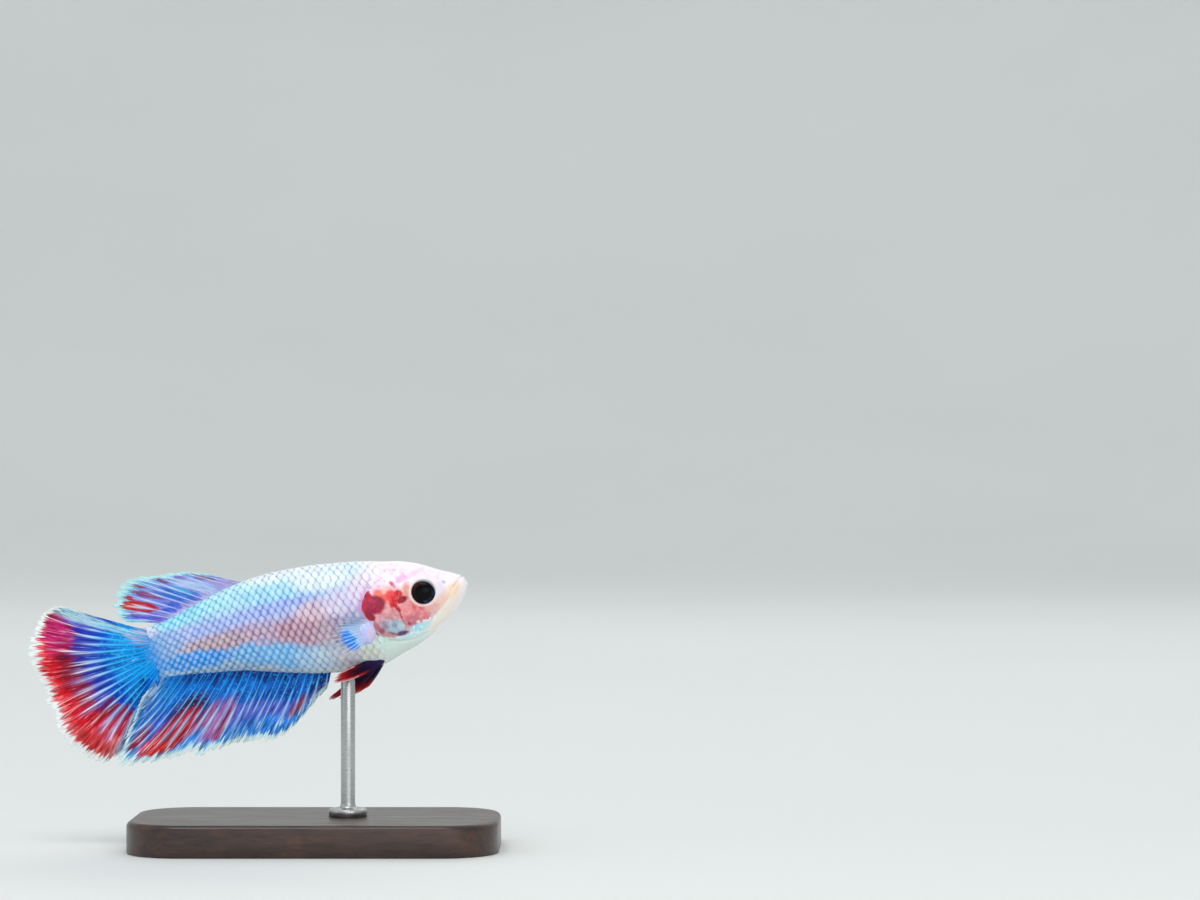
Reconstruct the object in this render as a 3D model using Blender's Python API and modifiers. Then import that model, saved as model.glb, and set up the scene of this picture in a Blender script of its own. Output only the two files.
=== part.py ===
"""Betta fish, a life-size model swimming nose up, held on a rod over a flat base.

The fish is drawn in its own level frame: x runs forward from the root of the tail fin to the
snout, y to its left and z up. The empty "fish" tips that frame nose up and sets it on the stand.
The origin of the model is the centre of the base's underside.
"""

import math

import bmesh
import bpy
import numpy as np
from mathutils import Vector

MM = 0.001
GAP = 0.3 * MM  # air left between neighbouring solids

# Pose: the nose points up a little, and the tail fin's root is here over the base.
NOSE_UP = math.radians(12.7)
TAIL_ROOT = (-21.0 * MM, 0.0, 24.1 * MM)

# Body, snout to tail root 41 mm. Each station is x, back, belly, half width, in mm.
BODY_STATIONS = (
    (0.0, 3.55, -3.45, 0.6),
    (1.2, 3.7, -3.5, 0.85),
    (3.5, 4.15, -3.65, 1.25),
    (7.0, 5.1, -4.1, 1.85),
    (11.0, 6.15, -4.65, 2.5),
    (16.0, 6.8, -6.0, 3.15),
    (21.0, 6.75, -7.2, 3.6),
    (25.0, 6.35, -7.8, 3.8),
    (28.5, 5.8, -7.8, 3.75),
    (32.0, 4.95, -6.65, 3.45),
    (35.3, 3.85, -5.25, 2.95),
    (38.0, 2.4, -3.55, 2.3),
    (39.6, 1.6, -2.2, 1.75),
    (40.6, 0.9, -0.85, 1.05),
    (41.0, 0.12, -0.08, 0.1),
)
BODY_RINGS = 40
BODY_SIDES = 28
KEEL = 0.10  # how far the sections lean from an ellipse towards a keeled lens at back and belly

# Where the body is parted, as x of the cut at the back and at the belly, in mm.
NECK_CUT = (29.9, 28.9)
STALK_CUT = (8.6, 8.0)

# Side view of the gill cover and of the lower jaw, in mm. The jaw's last points lie outside.
GILL_OUTLINE = (
    (30.2, 2.0), (28.7, 1.8), (27.7, 0.3), (27.6, -1.3), (28.3, -2.9),
    (29.4, -4.2), (31.2, -5.1), (32.6, -4.7), (32.3, -3.3), (31.7, -1.6), (30.9, 0.6),
)  # fmt: skip
GILL_DEPTH = 1.9  # the covers reach in to this distance from the middle, in mm
JAW_OUTLINE = (
    (40.6, 1.3), (39.9, 0.4), (39.2, -0.5), (38.3, -1.6), (37.3, -2.8),
    (35.9, -3.9), (34.3, -5.0), (33.4, -6.5), (36.0, -7.5), (43.0, -5.0), (43.5, 1.5),
)  # fmt: skip

# Eye: a ball flattened sideways, sunk in the head.
EYE_AT = (35.35, 2.1, 0.2)  # x, distance from the middle, z, in mm
EYE_RADIUS = 1.65
EYE_FLATNESS = 0.7

# Fins. A tip is t, x, z in mm: t runs along the fin's base, and a ray joins each t to its tip.
FIN_THICKNESS = 0.5 * MM
RAY_THICKNESS = 0.66 * MM
DORSAL_BASE = ((14.0, 6.1), (11.0, 5.7), (7.5, 4.7), (4.2, 3.7), (2.7, 3.4))
DORSAL_TIPS = (
    (0.0, 8.8, 8.5), (0.15, 6.2, 9.3), (0.3, 3.5, 9.55), (0.45, 1.1, 9.85), (0.56, -0.7, 9.7),
    (0.66, -1.9, 9.0), (0.76, -2.6, 7.9), (0.87, -3.0, 6.3), (0.94, -2.7, 5.3), (1.0, -1.8, 4.6),
)  # fmt: skip
CAUDAL_BASE = ((0.5, 3.1), (0.6, 0.0), (0.3, -3.0))
CAUDAL_TIPS = (
    (0.0, -9.4, 8.5), (0.08, -11.7, 8.2), (0.2, -13.2, 6.1), (0.33, -14.4, 2.9), (0.46, -14.2, -0.6),
    (0.6, -13.5, -4.1), (0.74, -12.7, -7.8), (0.85, -11.0, -10.4), (0.94, -8.5, -11.9), (1.0, -5.9, -11.3),
)  # fmt: skip
ANAL_BASE = ((22.0, -6.8), (16.0, -5.4), (11.0, -4.1), (6.0, -3.5), (1.0, -3.1))
ANAL_TIPS = (
    (0.0, 20.9, -8.9), (0.05, 19.0, -10.3), (0.1, 15.9, -12.6), (0.15, 13.9, -13.6), (0.21, 11.4, -13.6),
    (0.33, 8.6, -13.2), (0.46, 5.0, -13.6), (0.56, 1.2, -13.2), (0.65, -2.3, -13.5), (0.72, -4.6, -13.2),
    (0.785, -6.1, -12.3), (0.86, -5.5, -10.5), (0.93, -3.5, -7.6), (1.0, -1.3, -4.5),
)  # fmt: skip
PELVIC_BASE = ((28.7, -7.3), (28.2, -6.9), (27.7, -6.5))
PELVIC_TIPS_RIGHT = (
    (0.0, 25.2, -8.2), (0.25, 23.8, -8.45), (0.5, 22.2, -8.3), (0.75, 22.6, -7.5), (1.0, 24.5, -7.0),
)  # fmt: skip
PELVIC_TIPS_LEFT = (
    (0.0, 25.7, -10.1), (0.25, 23.4, -10.8), (0.5, 20.4, -10.6), (0.75, 22.3, -9.6), (1.0, 24.6, -8.5),
)  # fmt: skip
PECTORAL_BASE = ((28.5, -1.9), (28.4, -2.7), (28.2, -3.5))
PECTORAL_TIPS = (
    (0.0, 24.3, -0.2), (0.2, 22.4, -0.8), (0.4, 21.3, -1.8),
    (0.6, 21.4, -3.2), (0.8, 22.2, -4.7), (1.0, 23.5, -5.8),
)  # fmt: skip

# Stand.
BASE_SIZE = (46.0 * MM, 24.0 * MM, 4.0 * MM)
BASE_CORNER = 7.0 * MM
BASE_EDGE = 0.7 * MM
ROD_X = 4.0 * MM
ROD_RADIUS = 0.9 * MM
FOOT_RADIUS = 2.4 * MM
FOOT_HEIGHT = 1.0 * MM
ROD_TOP = 24.0 * MM  # inside the belly, which trims it


def clear_scene():
    for found in list(bpy.data.objects):
        bpy.data.objects.remove(found, do_unlink=True)


def new_collection(name, helper=False):
    made = bpy.data.collections.new(name)
    bpy.context.scene.collection.children.link(made)
    made.hide_render = helper
    return made


def material(name, colour, roughness=0.4, metallic=0.0):
    made = bpy.data.materials.new(name)
    made.use_nodes = True
    shader = made.node_tree.nodes["Principled BSDF"]
    shader.inputs["Base Color"].default_value = (*colour, 1.0)
    shader.inputs["Roughness"].default_value = roughness
    shader.inputs["Metallic"].default_value = metallic
    return made


def through(stations, at):
    """A smooth curve through rows of numbers, read where their first column is `at`.

    Between two rows it is a cubic whose slopes at the rows are those of the rows on either side.
    """
    rows = np.array(stations, float)
    known, values = rows[:, 0], rows[:, 1:]
    slopes = np.gradient(values, known, axis=0)
    i = np.clip(np.searchsorted(known, at) - 1, 0, len(known) - 2)
    span = known[i + 1] - known[i]
    s = np.clip((at - known[i]) / span, 0.0, 1.0)
    return (
        (2 * s**3 - 3 * s**2 + 1) * values[i]
        + (s**3 - 2 * s**2 + s) * span * slopes[i]
        + (3 * s**2 - 2 * s**3) * values[i + 1]
        + (s**3 - s**2) * span * slopes[i + 1]
    )


def with_lengths(points):
    """The points with the share of the way along them put first, so that through() can read them."""
    places = np.array(points, float)
    steps = np.linalg.norm(np.diff(places, axis=0), axis=1)
    along = np.concatenate([[0.0], np.cumsum(steps)]) / steps.sum()
    return np.column_stack([along, places])


def finished(made, name):
    """The bmesh as a mesh of that name, with its faces turned outwards."""
    made.normal_update()
    bmesh.ops.recalc_face_normals(made, faces=made.faces)
    mesh = bpy.data.meshes.new(name)
    made.to_mesh(mesh)
    made.free()
    return mesh


def body_section(share, angle, grow=0.0):
    """A point of the body: share runs from the snout, 0, to the tail root, 1, and angle goes round."""
    stations = with_lengths(BODY_STATIONS[::-1])
    x, back, belly, half_width = through(stations, share)
    middle = back + (belly - back) * 0.46
    side, rise = math.cos(angle), math.sin(angle)
    reach = (back - middle if rise > 0 else middle - belly) + grow / MM
    y = (half_width + grow / MM) * side * (1 - KEEL * rise * rise)
    ends = math.cos(math.pi * share)  # 1 at the snout and -1 at the tail root
    return (
        (x + ends * abs(ends) ** 30 * grow / MM) * MM,
        y * MM,
        (middle + reach * rise) * MM,
    )


def body_mesh(name, grow=0.0):
    """The whole body, from a sphere whose rings become the sections."""
    made = bmesh.new()
    bmesh.ops.create_uvsphere(made, u_segments=BODY_SIDES, v_segments=BODY_RINGS, radius=1.0)
    for vertex in made.verts:
        ring = round(math.acos(max(-1.0, min(1.0, vertex.co.z))) / math.pi * BODY_RINGS)
        share = min(1.0, max(0.0, (ring - 1) / (BODY_RINGS - 2)))
        angle = math.atan2(vertex.co.y, vertex.co.x)
        if ring in (0, BODY_RINGS):  # the poles close the two ends flat
            right, left = (Vector(body_section(share, turn, grow)) for turn in (0.0, math.pi))
            vertex.co = (right + left) / 2
        else:
            vertex.co = body_section(share, angle, grow)
    mesh = finished(made, name)
    return mesh


def add(mesh, collection, finish=None, parent=None):
    made = bpy.data.objects.new(mesh.name, mesh)
    collection.objects.link(made)
    made.parent = parent
    if finish is not None:
        mesh.materials.append(finish)
    return made


def as_helper(obj):
    obj.hide_render = True
    obj.display_type = "WIRE"
    return obj


def outset(outline, distance):
    """A closed outline with each point moved out by a distance, square to its neighbours."""
    places = np.array(outline, float)
    along = np.roll(places, -1, axis=0) - np.roll(places, 1, axis=0)
    normals = np.column_stack([along[:, 1], -along[:, 0]])
    normals /= np.linalg.norm(normals, axis=1)[:, None]
    turn = np.sum(places[:, 0] * np.roll(places[:, 1], -1) - np.roll(places[:, 0], -1) * places[:, 1])
    return places + normals * distance * (1 if turn > 0 else -1)


def side_cutter(name, outline, nearest, furthest, collection, parent):
    """A helper block: a side view outline in mm, carried from one distance off the middle to another."""
    made = bmesh.new()
    corners = [made.verts.new((x * MM, nearest * MM, z * MM)) for x, z in outline]
    side = made.faces.new(corners)
    carried = bmesh.ops.extrude_face_region(made, geom=[side])["geom"]
    moved = [item for item in carried if isinstance(item, bmesh.types.BMVert)]
    bmesh.ops.translate(made, vec=(0.0, (furthest - nearest) * MM, 0.0), verts=moved)
    mesh = finished(made, name)
    return as_helper(add(mesh, collection, parent=parent))


def boolean(obj, operation, *others):
    for other in others:
        step = obj.modifiers.new(f"{operation.lower()} {other.name}", "BOOLEAN")
        step.operation = operation
        step.object = other
        step.solver = "EXACT"


def eyeball(name, side, grow, collection, parent, finish=None):
    made = bmesh.new()
    bmesh.ops.create_uvsphere(made, u_segments=16, v_segments=10, radius=EYE_RADIUS * MM + grow)
    x, off, z = EYE_AT
    for vertex in made.verts:
        across = vertex.co.z * EYE_FLATNESS
        vertex.co = (vertex.co.x + x * MM, across + side * off * MM, vertex.co.y + z * MM)
    mesh = finished(made, name)
    mesh.shade_smooth()
    return add(mesh, collection, finish, parent)


def ray_point(base, tips, bow, t, r):
    """Side view of a fin in mm: t picks the ray, and r runs from its root to its tip."""
    root = through(base, t)
    tip = through(tips, t)
    chord = tip - root
    square = np.array([-chord[1], chord[0]])
    middle = (root + tip) / 2 + square * (bow[0] + (bow[1] - bow[0]) * t)
    return (1 - r) ** 2 * root + 2 * r * (1 - r) * middle + r**2 * tip


def fin(name, base, tips, rays, steps, collection, parent, finish, bow=(0.0, 0.0), notch=0.06,
        root_y=0.0, splay=0.0, lean=(0.0, 0.0), wave=(0.0, 1.0, 0.0), mirror=False):
    """A fin as an open sheet with Solidify, two columns to a ray, so the rays' tips stand proud.

    Off the middle it lies at root_y, splays evenly, leans more towards its tips, from lean's first
    value at the first ray to its second at the last, and waves by wave's height, count and phase.
    """
    base = with_lengths(base)
    columns = 2 * rays + 1
    made = bmesh.new()
    bmesh.ops.create_grid(made, x_segments=columns - 1, y_segments=steps, size=0.5)
    on_ray = {}
    for vertex in made.verts:
        t, r = vertex.co.x + 0.5, vertex.co.y + 0.5
        ray = round(t * (columns - 1)) % 2 == 1 or t < 1e-4 or t > 1 - 1e-4
        reach = r if ray else r * (1 - notch)
        x, z = ray_point(base, tips, bow, t, reach)
        height, count, phase = wave
        y = (
            root_y
            + splay * reach
            + (lean[0] + (lean[1] - lean[0]) * t) * reach**2
            + height * reach * math.sin(2 * math.pi * (count * t + phase))
        )
        vertex.co = (x * MM, (-y if mirror else y) * MM, z * MM)
        on_ray[vertex.index] = 1.0 if ray else FIN_THICKNESS / RAY_THICKNESS
    mesh = bpy.data.meshes.new(name)
    made.to_mesh(mesh)
    made.free()
    sheet = add(mesh, collection, finish, parent)
    group = sheet.vertex_groups.new(name="ray")
    for index, weight in on_ray.items():
        group.add([index], weight, "REPLACE")
    thick = sheet.modifiers.new("thickness", "SOLIDIFY")
    thick.thickness = RAY_THICKNESS
    thick.offset = 0.0
    thick.vertex_group = group.name
    thick.thickness_vertex_group = 0.0
    return sheet


def flesh(parts, cutters, fish, skins):
    """The body parted by thin cuts into head, lower jaw, gill covers, trunk and tail stalk."""
    high, low, far = 12.0, -12.0, 6.0
    neck_back, neck_belly = NECK_CUT
    stalk_back, stalk_belly = STALK_CUT
    gap = GAP / MM

    def block(name, front, rear):
        outline = ((front[0], high), (front[1], low), (rear[1], low), (rear[0], high))
        return side_cutter(name, outline, -far, far, cutters, fish)

    blocks = {
        "head": block("front_block", (50.0, 50.0), (neck_back, neck_belly)),
        "trunk": block(
            "middle_block", (neck_back - gap, neck_belly - gap), (stalk_back, stalk_belly)
        ),
        "tail_stalk": block(
            "rear_block", (stalk_back - gap, stalk_belly - gap), (-10.0, -10.0)
        ),
    }
    made = {}
    for name, region in blocks.items():
        made[name] = add(body_mesh(name), parts, skins[name], fish)
        boolean(made[name], "INTERSECT", region)
    jaw_room = side_cutter("jaw_room", outset(JAW_OUTLINE, gap), -far, far, cutters, fish)
    jaw_block = side_cutter("jaw_block", JAW_OUTLINE, -far, far, cutters, fish)
    made["lower_jaw"] = add(body_mesh("lower_jaw"), parts, skins["lower_jaw"], fish)
    boolean(made["lower_jaw"], "INTERSECT", jaw_block)
    boolean(made["head"], "DIFFERENCE", jaw_room)
    for label, side in (("right", -1), ("left", 1)):
        cover_block = side_cutter(
            f"cover_block_{label}", GILL_OUTLINE, side * GILL_DEPTH, side * far, cutters, fish
        )
        cover_room = side_cutter(
            f"cover_room_{label}", outset(GILL_OUTLINE, gap),
            side * (GILL_DEPTH - gap), side * far, cutters, fish,
        )  # fmt: skip
        name = f"gill_cover_{label}"
        made[name] = add(body_mesh(name), parts, skins["gill_cover"], fish)
        boolean(made[name], "INTERSECT", cover_block)
        boolean(made["head"], "DIFFERENCE", cover_room)
        boolean(made["trunk"], "DIFFERENCE", cover_room)
        socket = as_helper(eyeball(f"socket_{label}", side, GAP, cutters, fish))
        boolean(made["head"], "DIFFERENCE", socket)
    return made


def fins(parts, fish, body_room, colours):
    """The unpaired fins on the middle line, and the paired pelvic and pectoral fins."""
    made = [
        fin("dorsal_fin", DORSAL_BASE, DORSAL_TIPS, 11, 5, parts, fish, colours["dorsal"],
            bow=(0.03, -0.05), lean=(-0.3, 0.4), wave=(0.35, 1.3, 0.1)),
        fin("caudal_fin", CAUDAL_BASE, CAUDAL_TIPS, 26, 5, parts, fish, colours["caudal"],
            bow=(0.02, 0.06), notch=0.05, lean=(-0.7, 1.5), wave=(0.5, 2.4, 0.0)),
        fin("anal_fin", ANAL_BASE, ANAL_TIPS, 25, 5, parts, fish, colours["anal"],
            bow=(0.02, 0.07), lean=(0.5, -1.6), wave=(0.4, 3.2, 0.3)),
    ]  # fmt: skip
    for label, mirror, pelvic_tips in (
        ("right", True, PELVIC_TIPS_RIGHT),
        ("left", False, PELVIC_TIPS_LEFT),
    ):
        made.append(fin(
            f"pelvic_fin_{label}", PELVIC_BASE, pelvic_tips, 5, 6, parts, fish, colours["pelvic"],
            bow=(0.05, 0.0), root_y=1.1, splay=2.3, lean=(0.3, 0.3), mirror=mirror,
        ))  # fmt: skip
        made.append(fin(
            f"pectoral_fin_{label}", PECTORAL_BASE, PECTORAL_TIPS, 9, 4, parts, fish, colours["pectoral"],
            bow=(-0.05, 0.08), root_y=3.2, splay=2.9, lean=(-0.4, 0.6), mirror=mirror,
        ))  # fmt: skip
    for each in made:
        boolean(each, "DIFFERENCE", body_room)


def stand(parts, body_room, base_finish, rod_finish):
    height = BASE_SIZE[2]
    shape = bmesh.new()
    bmesh.ops.create_cube(shape, size=1.0)
    bmesh.ops.scale(shape, vec=BASE_SIZE, verts=shape.verts)
    bmesh.ops.translate(shape, vec=(0.0, 0.0, height / 2), verts=shape.verts)
    uprights = [e for e in shape.edges if abs(e.verts[0].co.z - e.verts[1].co.z) > height / 2]
    bmesh.ops.bevel(shape, geom=uprights, offset=BASE_CORNER, segments=8, affect="EDGES", profile=0.5)
    top = [e for e in shape.edges if min(v.co.z for v in e.verts) > height * 0.99]
    bmesh.ops.bevel(shape, geom=top, offset=BASE_EDGE, segments=3, affect="EDGES", profile=0.5)
    base = bpy.data.meshes.new("stand_base")
    shape.to_mesh(base)
    shape.free()
    add(base, parts, base_finish)

    profile = bpy.data.meshes.new("stand_rod")
    floor = height + GAP
    outer = (
        (0.0, ROD_TOP),
        (ROD_RADIUS, ROD_TOP),
        (ROD_RADIUS, floor + FOOT_HEIGHT + ROD_RADIUS),
        (ROD_RADIUS * 1.3, floor + FOOT_HEIGHT + ROD_RADIUS * 0.3),
        (FOOT_RADIUS - 0.3 * MM, floor + FOOT_HEIGHT),
        (FOOT_RADIUS, floor + FOOT_HEIGHT - 0.3 * MM),
        (FOOT_RADIUS, floor),
        (0.0, floor),
    )
    profile.from_pydata([(r, 0.0, z) for r, z in outer], [(i, i + 1) for i in range(len(outer) - 1)], [])
    rod = add(profile, parts, rod_finish)
    rod.location = (ROD_X, 0.0, 0.0)
    turn = rod.modifiers.new("turn", "SCREW")
    turn.steps = turn.render_steps = 24
    turn.use_merge_vertices = True
    turn.merge_threshold = 1e-6
    turn.use_smooth_shade = True
    boolean(rod, "DIFFERENCE", body_room)


def main():
    clear_scene()
    parts = new_collection("betta_fish")
    cutters = new_collection("cutters")
    fish = bpy.data.objects.new("fish", None)
    parts.objects.link(fish)
    fish.location = TAIL_ROOT
    fish.rotation_euler = (0.0, -NOSE_UP, 0.0)

    scales = material("silver_blue_scales", (0.62, 0.78, 0.90), 0.35)
    pink = material("pink_white_head", (0.93, 0.80, 0.82), 0.35)
    gill = material("red_gill_cover", (0.80, 0.25, 0.30), 0.35)
    blue = material("blue_red_fin", (0.15, 0.42, 0.85), 0.4)
    skins = {
        "head": pink,
        "lower_jaw": material("cream_jaw", (0.93, 0.90, 0.85), 0.35),
        "gill_cover": gill,
        "trunk": scales,
        "tail_stalk": scales,
    }
    colours = {
        "dorsal": blue,
        "caudal": blue,
        "anal": blue,
        "pelvic": material("dark_red_fin", (0.42, 0.03, 0.08), 0.4),
        "pectoral": material("clear_fin", (0.80, 0.86, 0.92), 0.3),
    }
    body_room = as_helper(add(body_mesh("body_room", GAP), cutters, parent=fish))
    flesh(parts, cutters, fish, skins)
    fins(parts, fish, body_room, colours)
    black_eye = material("black_eye", (0.01, 0.01, 0.015), 0.08)
    for label, side in (("right", -1), ("left", 1)):
        eyeball(f"eye_{label}", side, 0.0, parts, fish, black_eye)
    stand(
        parts,
        body_room,
        material("dark_wood", (0.10, 0.06, 0.04), 0.45),
        material("steel_rod", (0.62, 0.62, 0.60), 0.25, 1.0),
    )


main()
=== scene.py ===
# %% [markdown]
# # A betta fish on a display stand
# The imported solids come first, because every piece below is made to their size. They stand for
# the fish in the physics.

import math

import bpy
import numpy as np
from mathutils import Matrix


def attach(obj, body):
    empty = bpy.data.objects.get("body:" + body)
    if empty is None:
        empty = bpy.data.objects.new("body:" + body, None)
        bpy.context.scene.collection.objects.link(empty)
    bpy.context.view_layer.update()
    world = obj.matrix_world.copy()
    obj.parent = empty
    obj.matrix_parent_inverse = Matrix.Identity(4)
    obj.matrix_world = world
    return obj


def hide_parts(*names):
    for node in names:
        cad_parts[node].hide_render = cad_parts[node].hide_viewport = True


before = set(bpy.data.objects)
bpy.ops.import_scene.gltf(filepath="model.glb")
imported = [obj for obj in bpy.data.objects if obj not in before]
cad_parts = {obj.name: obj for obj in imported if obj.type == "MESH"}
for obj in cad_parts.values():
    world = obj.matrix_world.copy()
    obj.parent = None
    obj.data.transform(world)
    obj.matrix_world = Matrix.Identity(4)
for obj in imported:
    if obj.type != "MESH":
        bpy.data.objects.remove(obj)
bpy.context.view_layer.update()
print("nodes", sorted(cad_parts))

# %% [markdown]
# ## The fish's own frame
# A fish is easiest to describe level, so all its shapes are worked out in a frame of its own, in
# millimetres: x forward from the root of the tail fin to the snout, y to its left, z up. One turn
# about y and one shift then tip it nose up and set it over the stand, in metres. A material
# undoes the same move to read where on the fish a point is.

# %% From the fish's frame to the room
MM = 0.001
BOTH_SIDES = (("right", True), ("left", False))  # and whether a shape is mirrored there
NOSE_UP = math.radians(12.7)
ACROSS, UP = math.cos(NOSE_UP), math.sin(NOSE_UP)
TAIL_ROOT = (-21.0 * MM, 0.0, 24.1 * MM)


def to_room(places):
    """Points in millimetres on the level fish, turned nose up, shifted, and put in metres."""
    x, y, z = np.moveaxis(np.asarray(places, float), -1, 0) * MM
    forward, up = TAIL_ROOT[0] + x * ACROSS - z * UP, TAIL_ROOT[2] + x * UP + z * ACROSS
    return np.stack([forward, TAIL_ROOT[1] + y, up], -1)


print("snout tip in the room", np.round(to_room((41.0, 0.0, 0.0)), 4))

# %% [markdown]
# ## The camera
# A level camera far enough away for a nearly flat side view, with a long lens. It looks past the
# fish's nose, so the fish sits low and to the left of the frame.

# %% Camera
FAR_AWAY = 450.0 * MM
camera = bpy.data.objects.new("camera", bpy.data.cameras.new("camera"))
bpy.context.scene.collection.objects.link(camera)
camera.location = (35.5 * MM, -FAR_AWAY, 49.75 * MM)
camera.rotation_euler = (math.pi / 2, 0.0, 0.0)
camera.data.sensor_width, camera.data.lens = 36.0, 108.0
camera.data.clip_start, camera.data.clip_end = 0.01, 20.0
bpy.context.scene.camera = camera
print("view at the fish is", camera.data.sensor_width / camera.data.lens * FAR_AWAY / MM, "mm wide")

# %% [markdown]
# ## Steps, bells and smooth curves
# A few helpers do most of the drawing. `smooth` is an S-shaped step and `bump` is a bell.
# `through` is a smooth curve through rows of numbers, so a shape can be given by a few stations.


# %% Steps, bells and curves
def smooth(value, low, high):
    """0 below low and 1 above high, with 3s^2 - 2s^3 between."""
    s = np.clip((np.asarray(value, float) - low) / (high - low), 0.0, 1.0)
    return s * s * (3 - 2 * s)


def bump(value, centre, width):
    """A bell: e to the minus ((value - centre) / width) squared."""
    return np.exp(-(((value - centre) / width) ** 2))


def through(stations, at):
    """A smooth curve through rows of numbers, read where their first column is `at`.

    Between two rows it is a cubic whose slopes at the rows are those of the rows on either side.
    """
    rows = np.array(stations, float)
    known, values = rows[:, 0], rows[:, 1:]
    slopes = np.gradient(values, known, axis=0)
    at = np.asarray(at, float)
    i = np.clip(np.searchsorted(known, at) - 1, 0, len(known) - 2)
    span = (known[i + 1] - known[i])[..., None]
    s = np.clip((at - known[i])[..., None] / span, 0.0, 1.0)
    return (
        (2 * s**3 - 3 * s**2 + 1) * values[i]
        + (s**3 - 2 * s**2 + s) * span * slopes[i]
        + (3 * s**2 - 2 * s**3) * values[i + 1]
        + (s**3 - s**2) * span * slopes[i + 1]
    )


def with_lengths(points):
    """The points with their share of the way along put first, so that through() can read them."""
    places = np.array(points, float)
    steps = np.linalg.norm(np.diff(places, axis=0), axis=1)
    along = np.concatenate([[0.0], np.cumsum(steps)]) / steps.sum()
    return np.column_stack([along, places])


print("a step at 0, 1/4, 1/2 and 1 of the way", smooth((0.0, 0.25, 0.5, 1.0), 0, 1))

# %% [markdown]
# ## Lines drawn on the side view
# Folds and edges follow lines on the fish's side. `drawn` makes such a line, and `off_line`
# measures how far points lie from it and on which side, which is how folds are put on the skin.


# %% Lines and the distance from them
def drawn(points, count=40):
    """A smooth open line of `count` points through a few points of the side view."""
    return through(with_lengths(points), np.linspace(0, 1, count))


def off_line(x, z, line):
    """Distance from each point to a line of the side view, positive on the line's left hand, and
    how far along the line the nearest spot is, from 0 to 1. It is the nearest of all segments."""
    place = np.stack([x, z], -1)[..., None, :]
    start, step = line[:-1], np.diff(line, axis=0)
    share = np.clip(np.sum((place - start) * step, -1) / np.sum(step * step, -1), 0, 1)
    away = place - start - share[..., None] * step
    far = np.linalg.norm(away, axis=-1)
    pick = far.argmin(-1)[..., None]
    turn = step[:, 0] * away[..., 1] - step[:, 1] * away[..., 0]
    near, side = (np.take_along_axis(a, pick, -1)[..., 0] for a in (far, turn))
    along = (pick[..., 0] + np.take_along_axis(share, pick, -1)[..., 0]) / len(step)
    return np.where(side < 0, -near, near), along


near, along = off_line(np.array([2.0]), np.array([1.0]), drawn(((0, 0), (4, 0))))
print("a point 1 mm above a level line is", near, "mm off it,", along, "of the way along")

# %% [markdown]
# ## Grids into meshes
# Every new piece is a surface worked out on a grid as whole arrays, which is exact and quicker
# than placing points one by one. These helpers number the corners of its faces. A stack of rings
# is closed by a pole at each end, where it is round, or by a flat face, where it stands.


# %% Faces of a grid
def quads(rows, columns, ring=False):
    """Corner numbers of a grid's quads; in a ring the last column joins the first."""
    across = columns if ring else columns - 1
    i, j = np.meshgrid(np.arange(rows - 1), np.arange(across), indexing="ij")
    k = (j + 1) % columns
    corners = (i * columns + j, i * columns + k, (i + 1) * columns + k, (i + 1) * columns + j)
    return np.stack(corners, -1).reshape(-1, 4)


def with_poles(rings, first_pole, last_pole):
    """Points and faces of rings closed by a fan of triangles to a pole at each end."""
    count, sides = rings.shape[:2]
    here = np.arange(sides)
    after, final, pole = (here + 1) % sides, (count - 1) * sides, count * sides + 0 * here
    first_fan = np.stack([after, here, pole], -1)
    last_fan = np.stack([final + here, final + after, pole + 1], -1)
    points = np.concatenate([rings.reshape(-1, 3), [first_pole, last_pole]])
    return points, [*quads(count, sides, ring=True), *first_fan, *last_fan]


def with_flat_ends(rings):
    """Points and faces of rings closed by one flat face at each end."""
    count, sides = rings.shape[:2]
    here = np.arange(sides)
    ends = [here[::-1], (count - 1) * sides + here]
    return rings.reshape(-1, 3), [*quads(count, sides, ring=True), *ends]


def facing(faces, mirrored):
    """The faces, each turned over where the shape is mirrored, so that they still face outwards."""
    return [face[::-1] for face in faces] if mirrored else faces


def normals_of(grid, ring=False):
    """Unit normals of a grid of points, from the cross product of its two directions."""
    down = np.gradient(grid, axis=0)
    if ring:
        over = (np.roll(grid, -1, axis=1) - np.roll(grid, 1, axis=1)) / 2
    else:
        over = np.gradient(grid, axis=1)
    normal = np.cross(down, over)
    return normal / np.maximum(np.linalg.norm(normal, axis=-1, keepdims=True), 1e-12)


print("a 3 by 4 grid has", len(quads(3, 4)), "quads, and", len(quads(3, 4, ring=True)), "as a ring")

# %% [markdown]
# ## Making a piece
# `piece` puts such arrays in a mesh, with any values that its material reads as attributes, and
# a UV map called OFBake, which the colours are later baked on. The object stays at the origin,
# unturned, because the place is in the mesh. It rides on the body that holds the solids.


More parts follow.
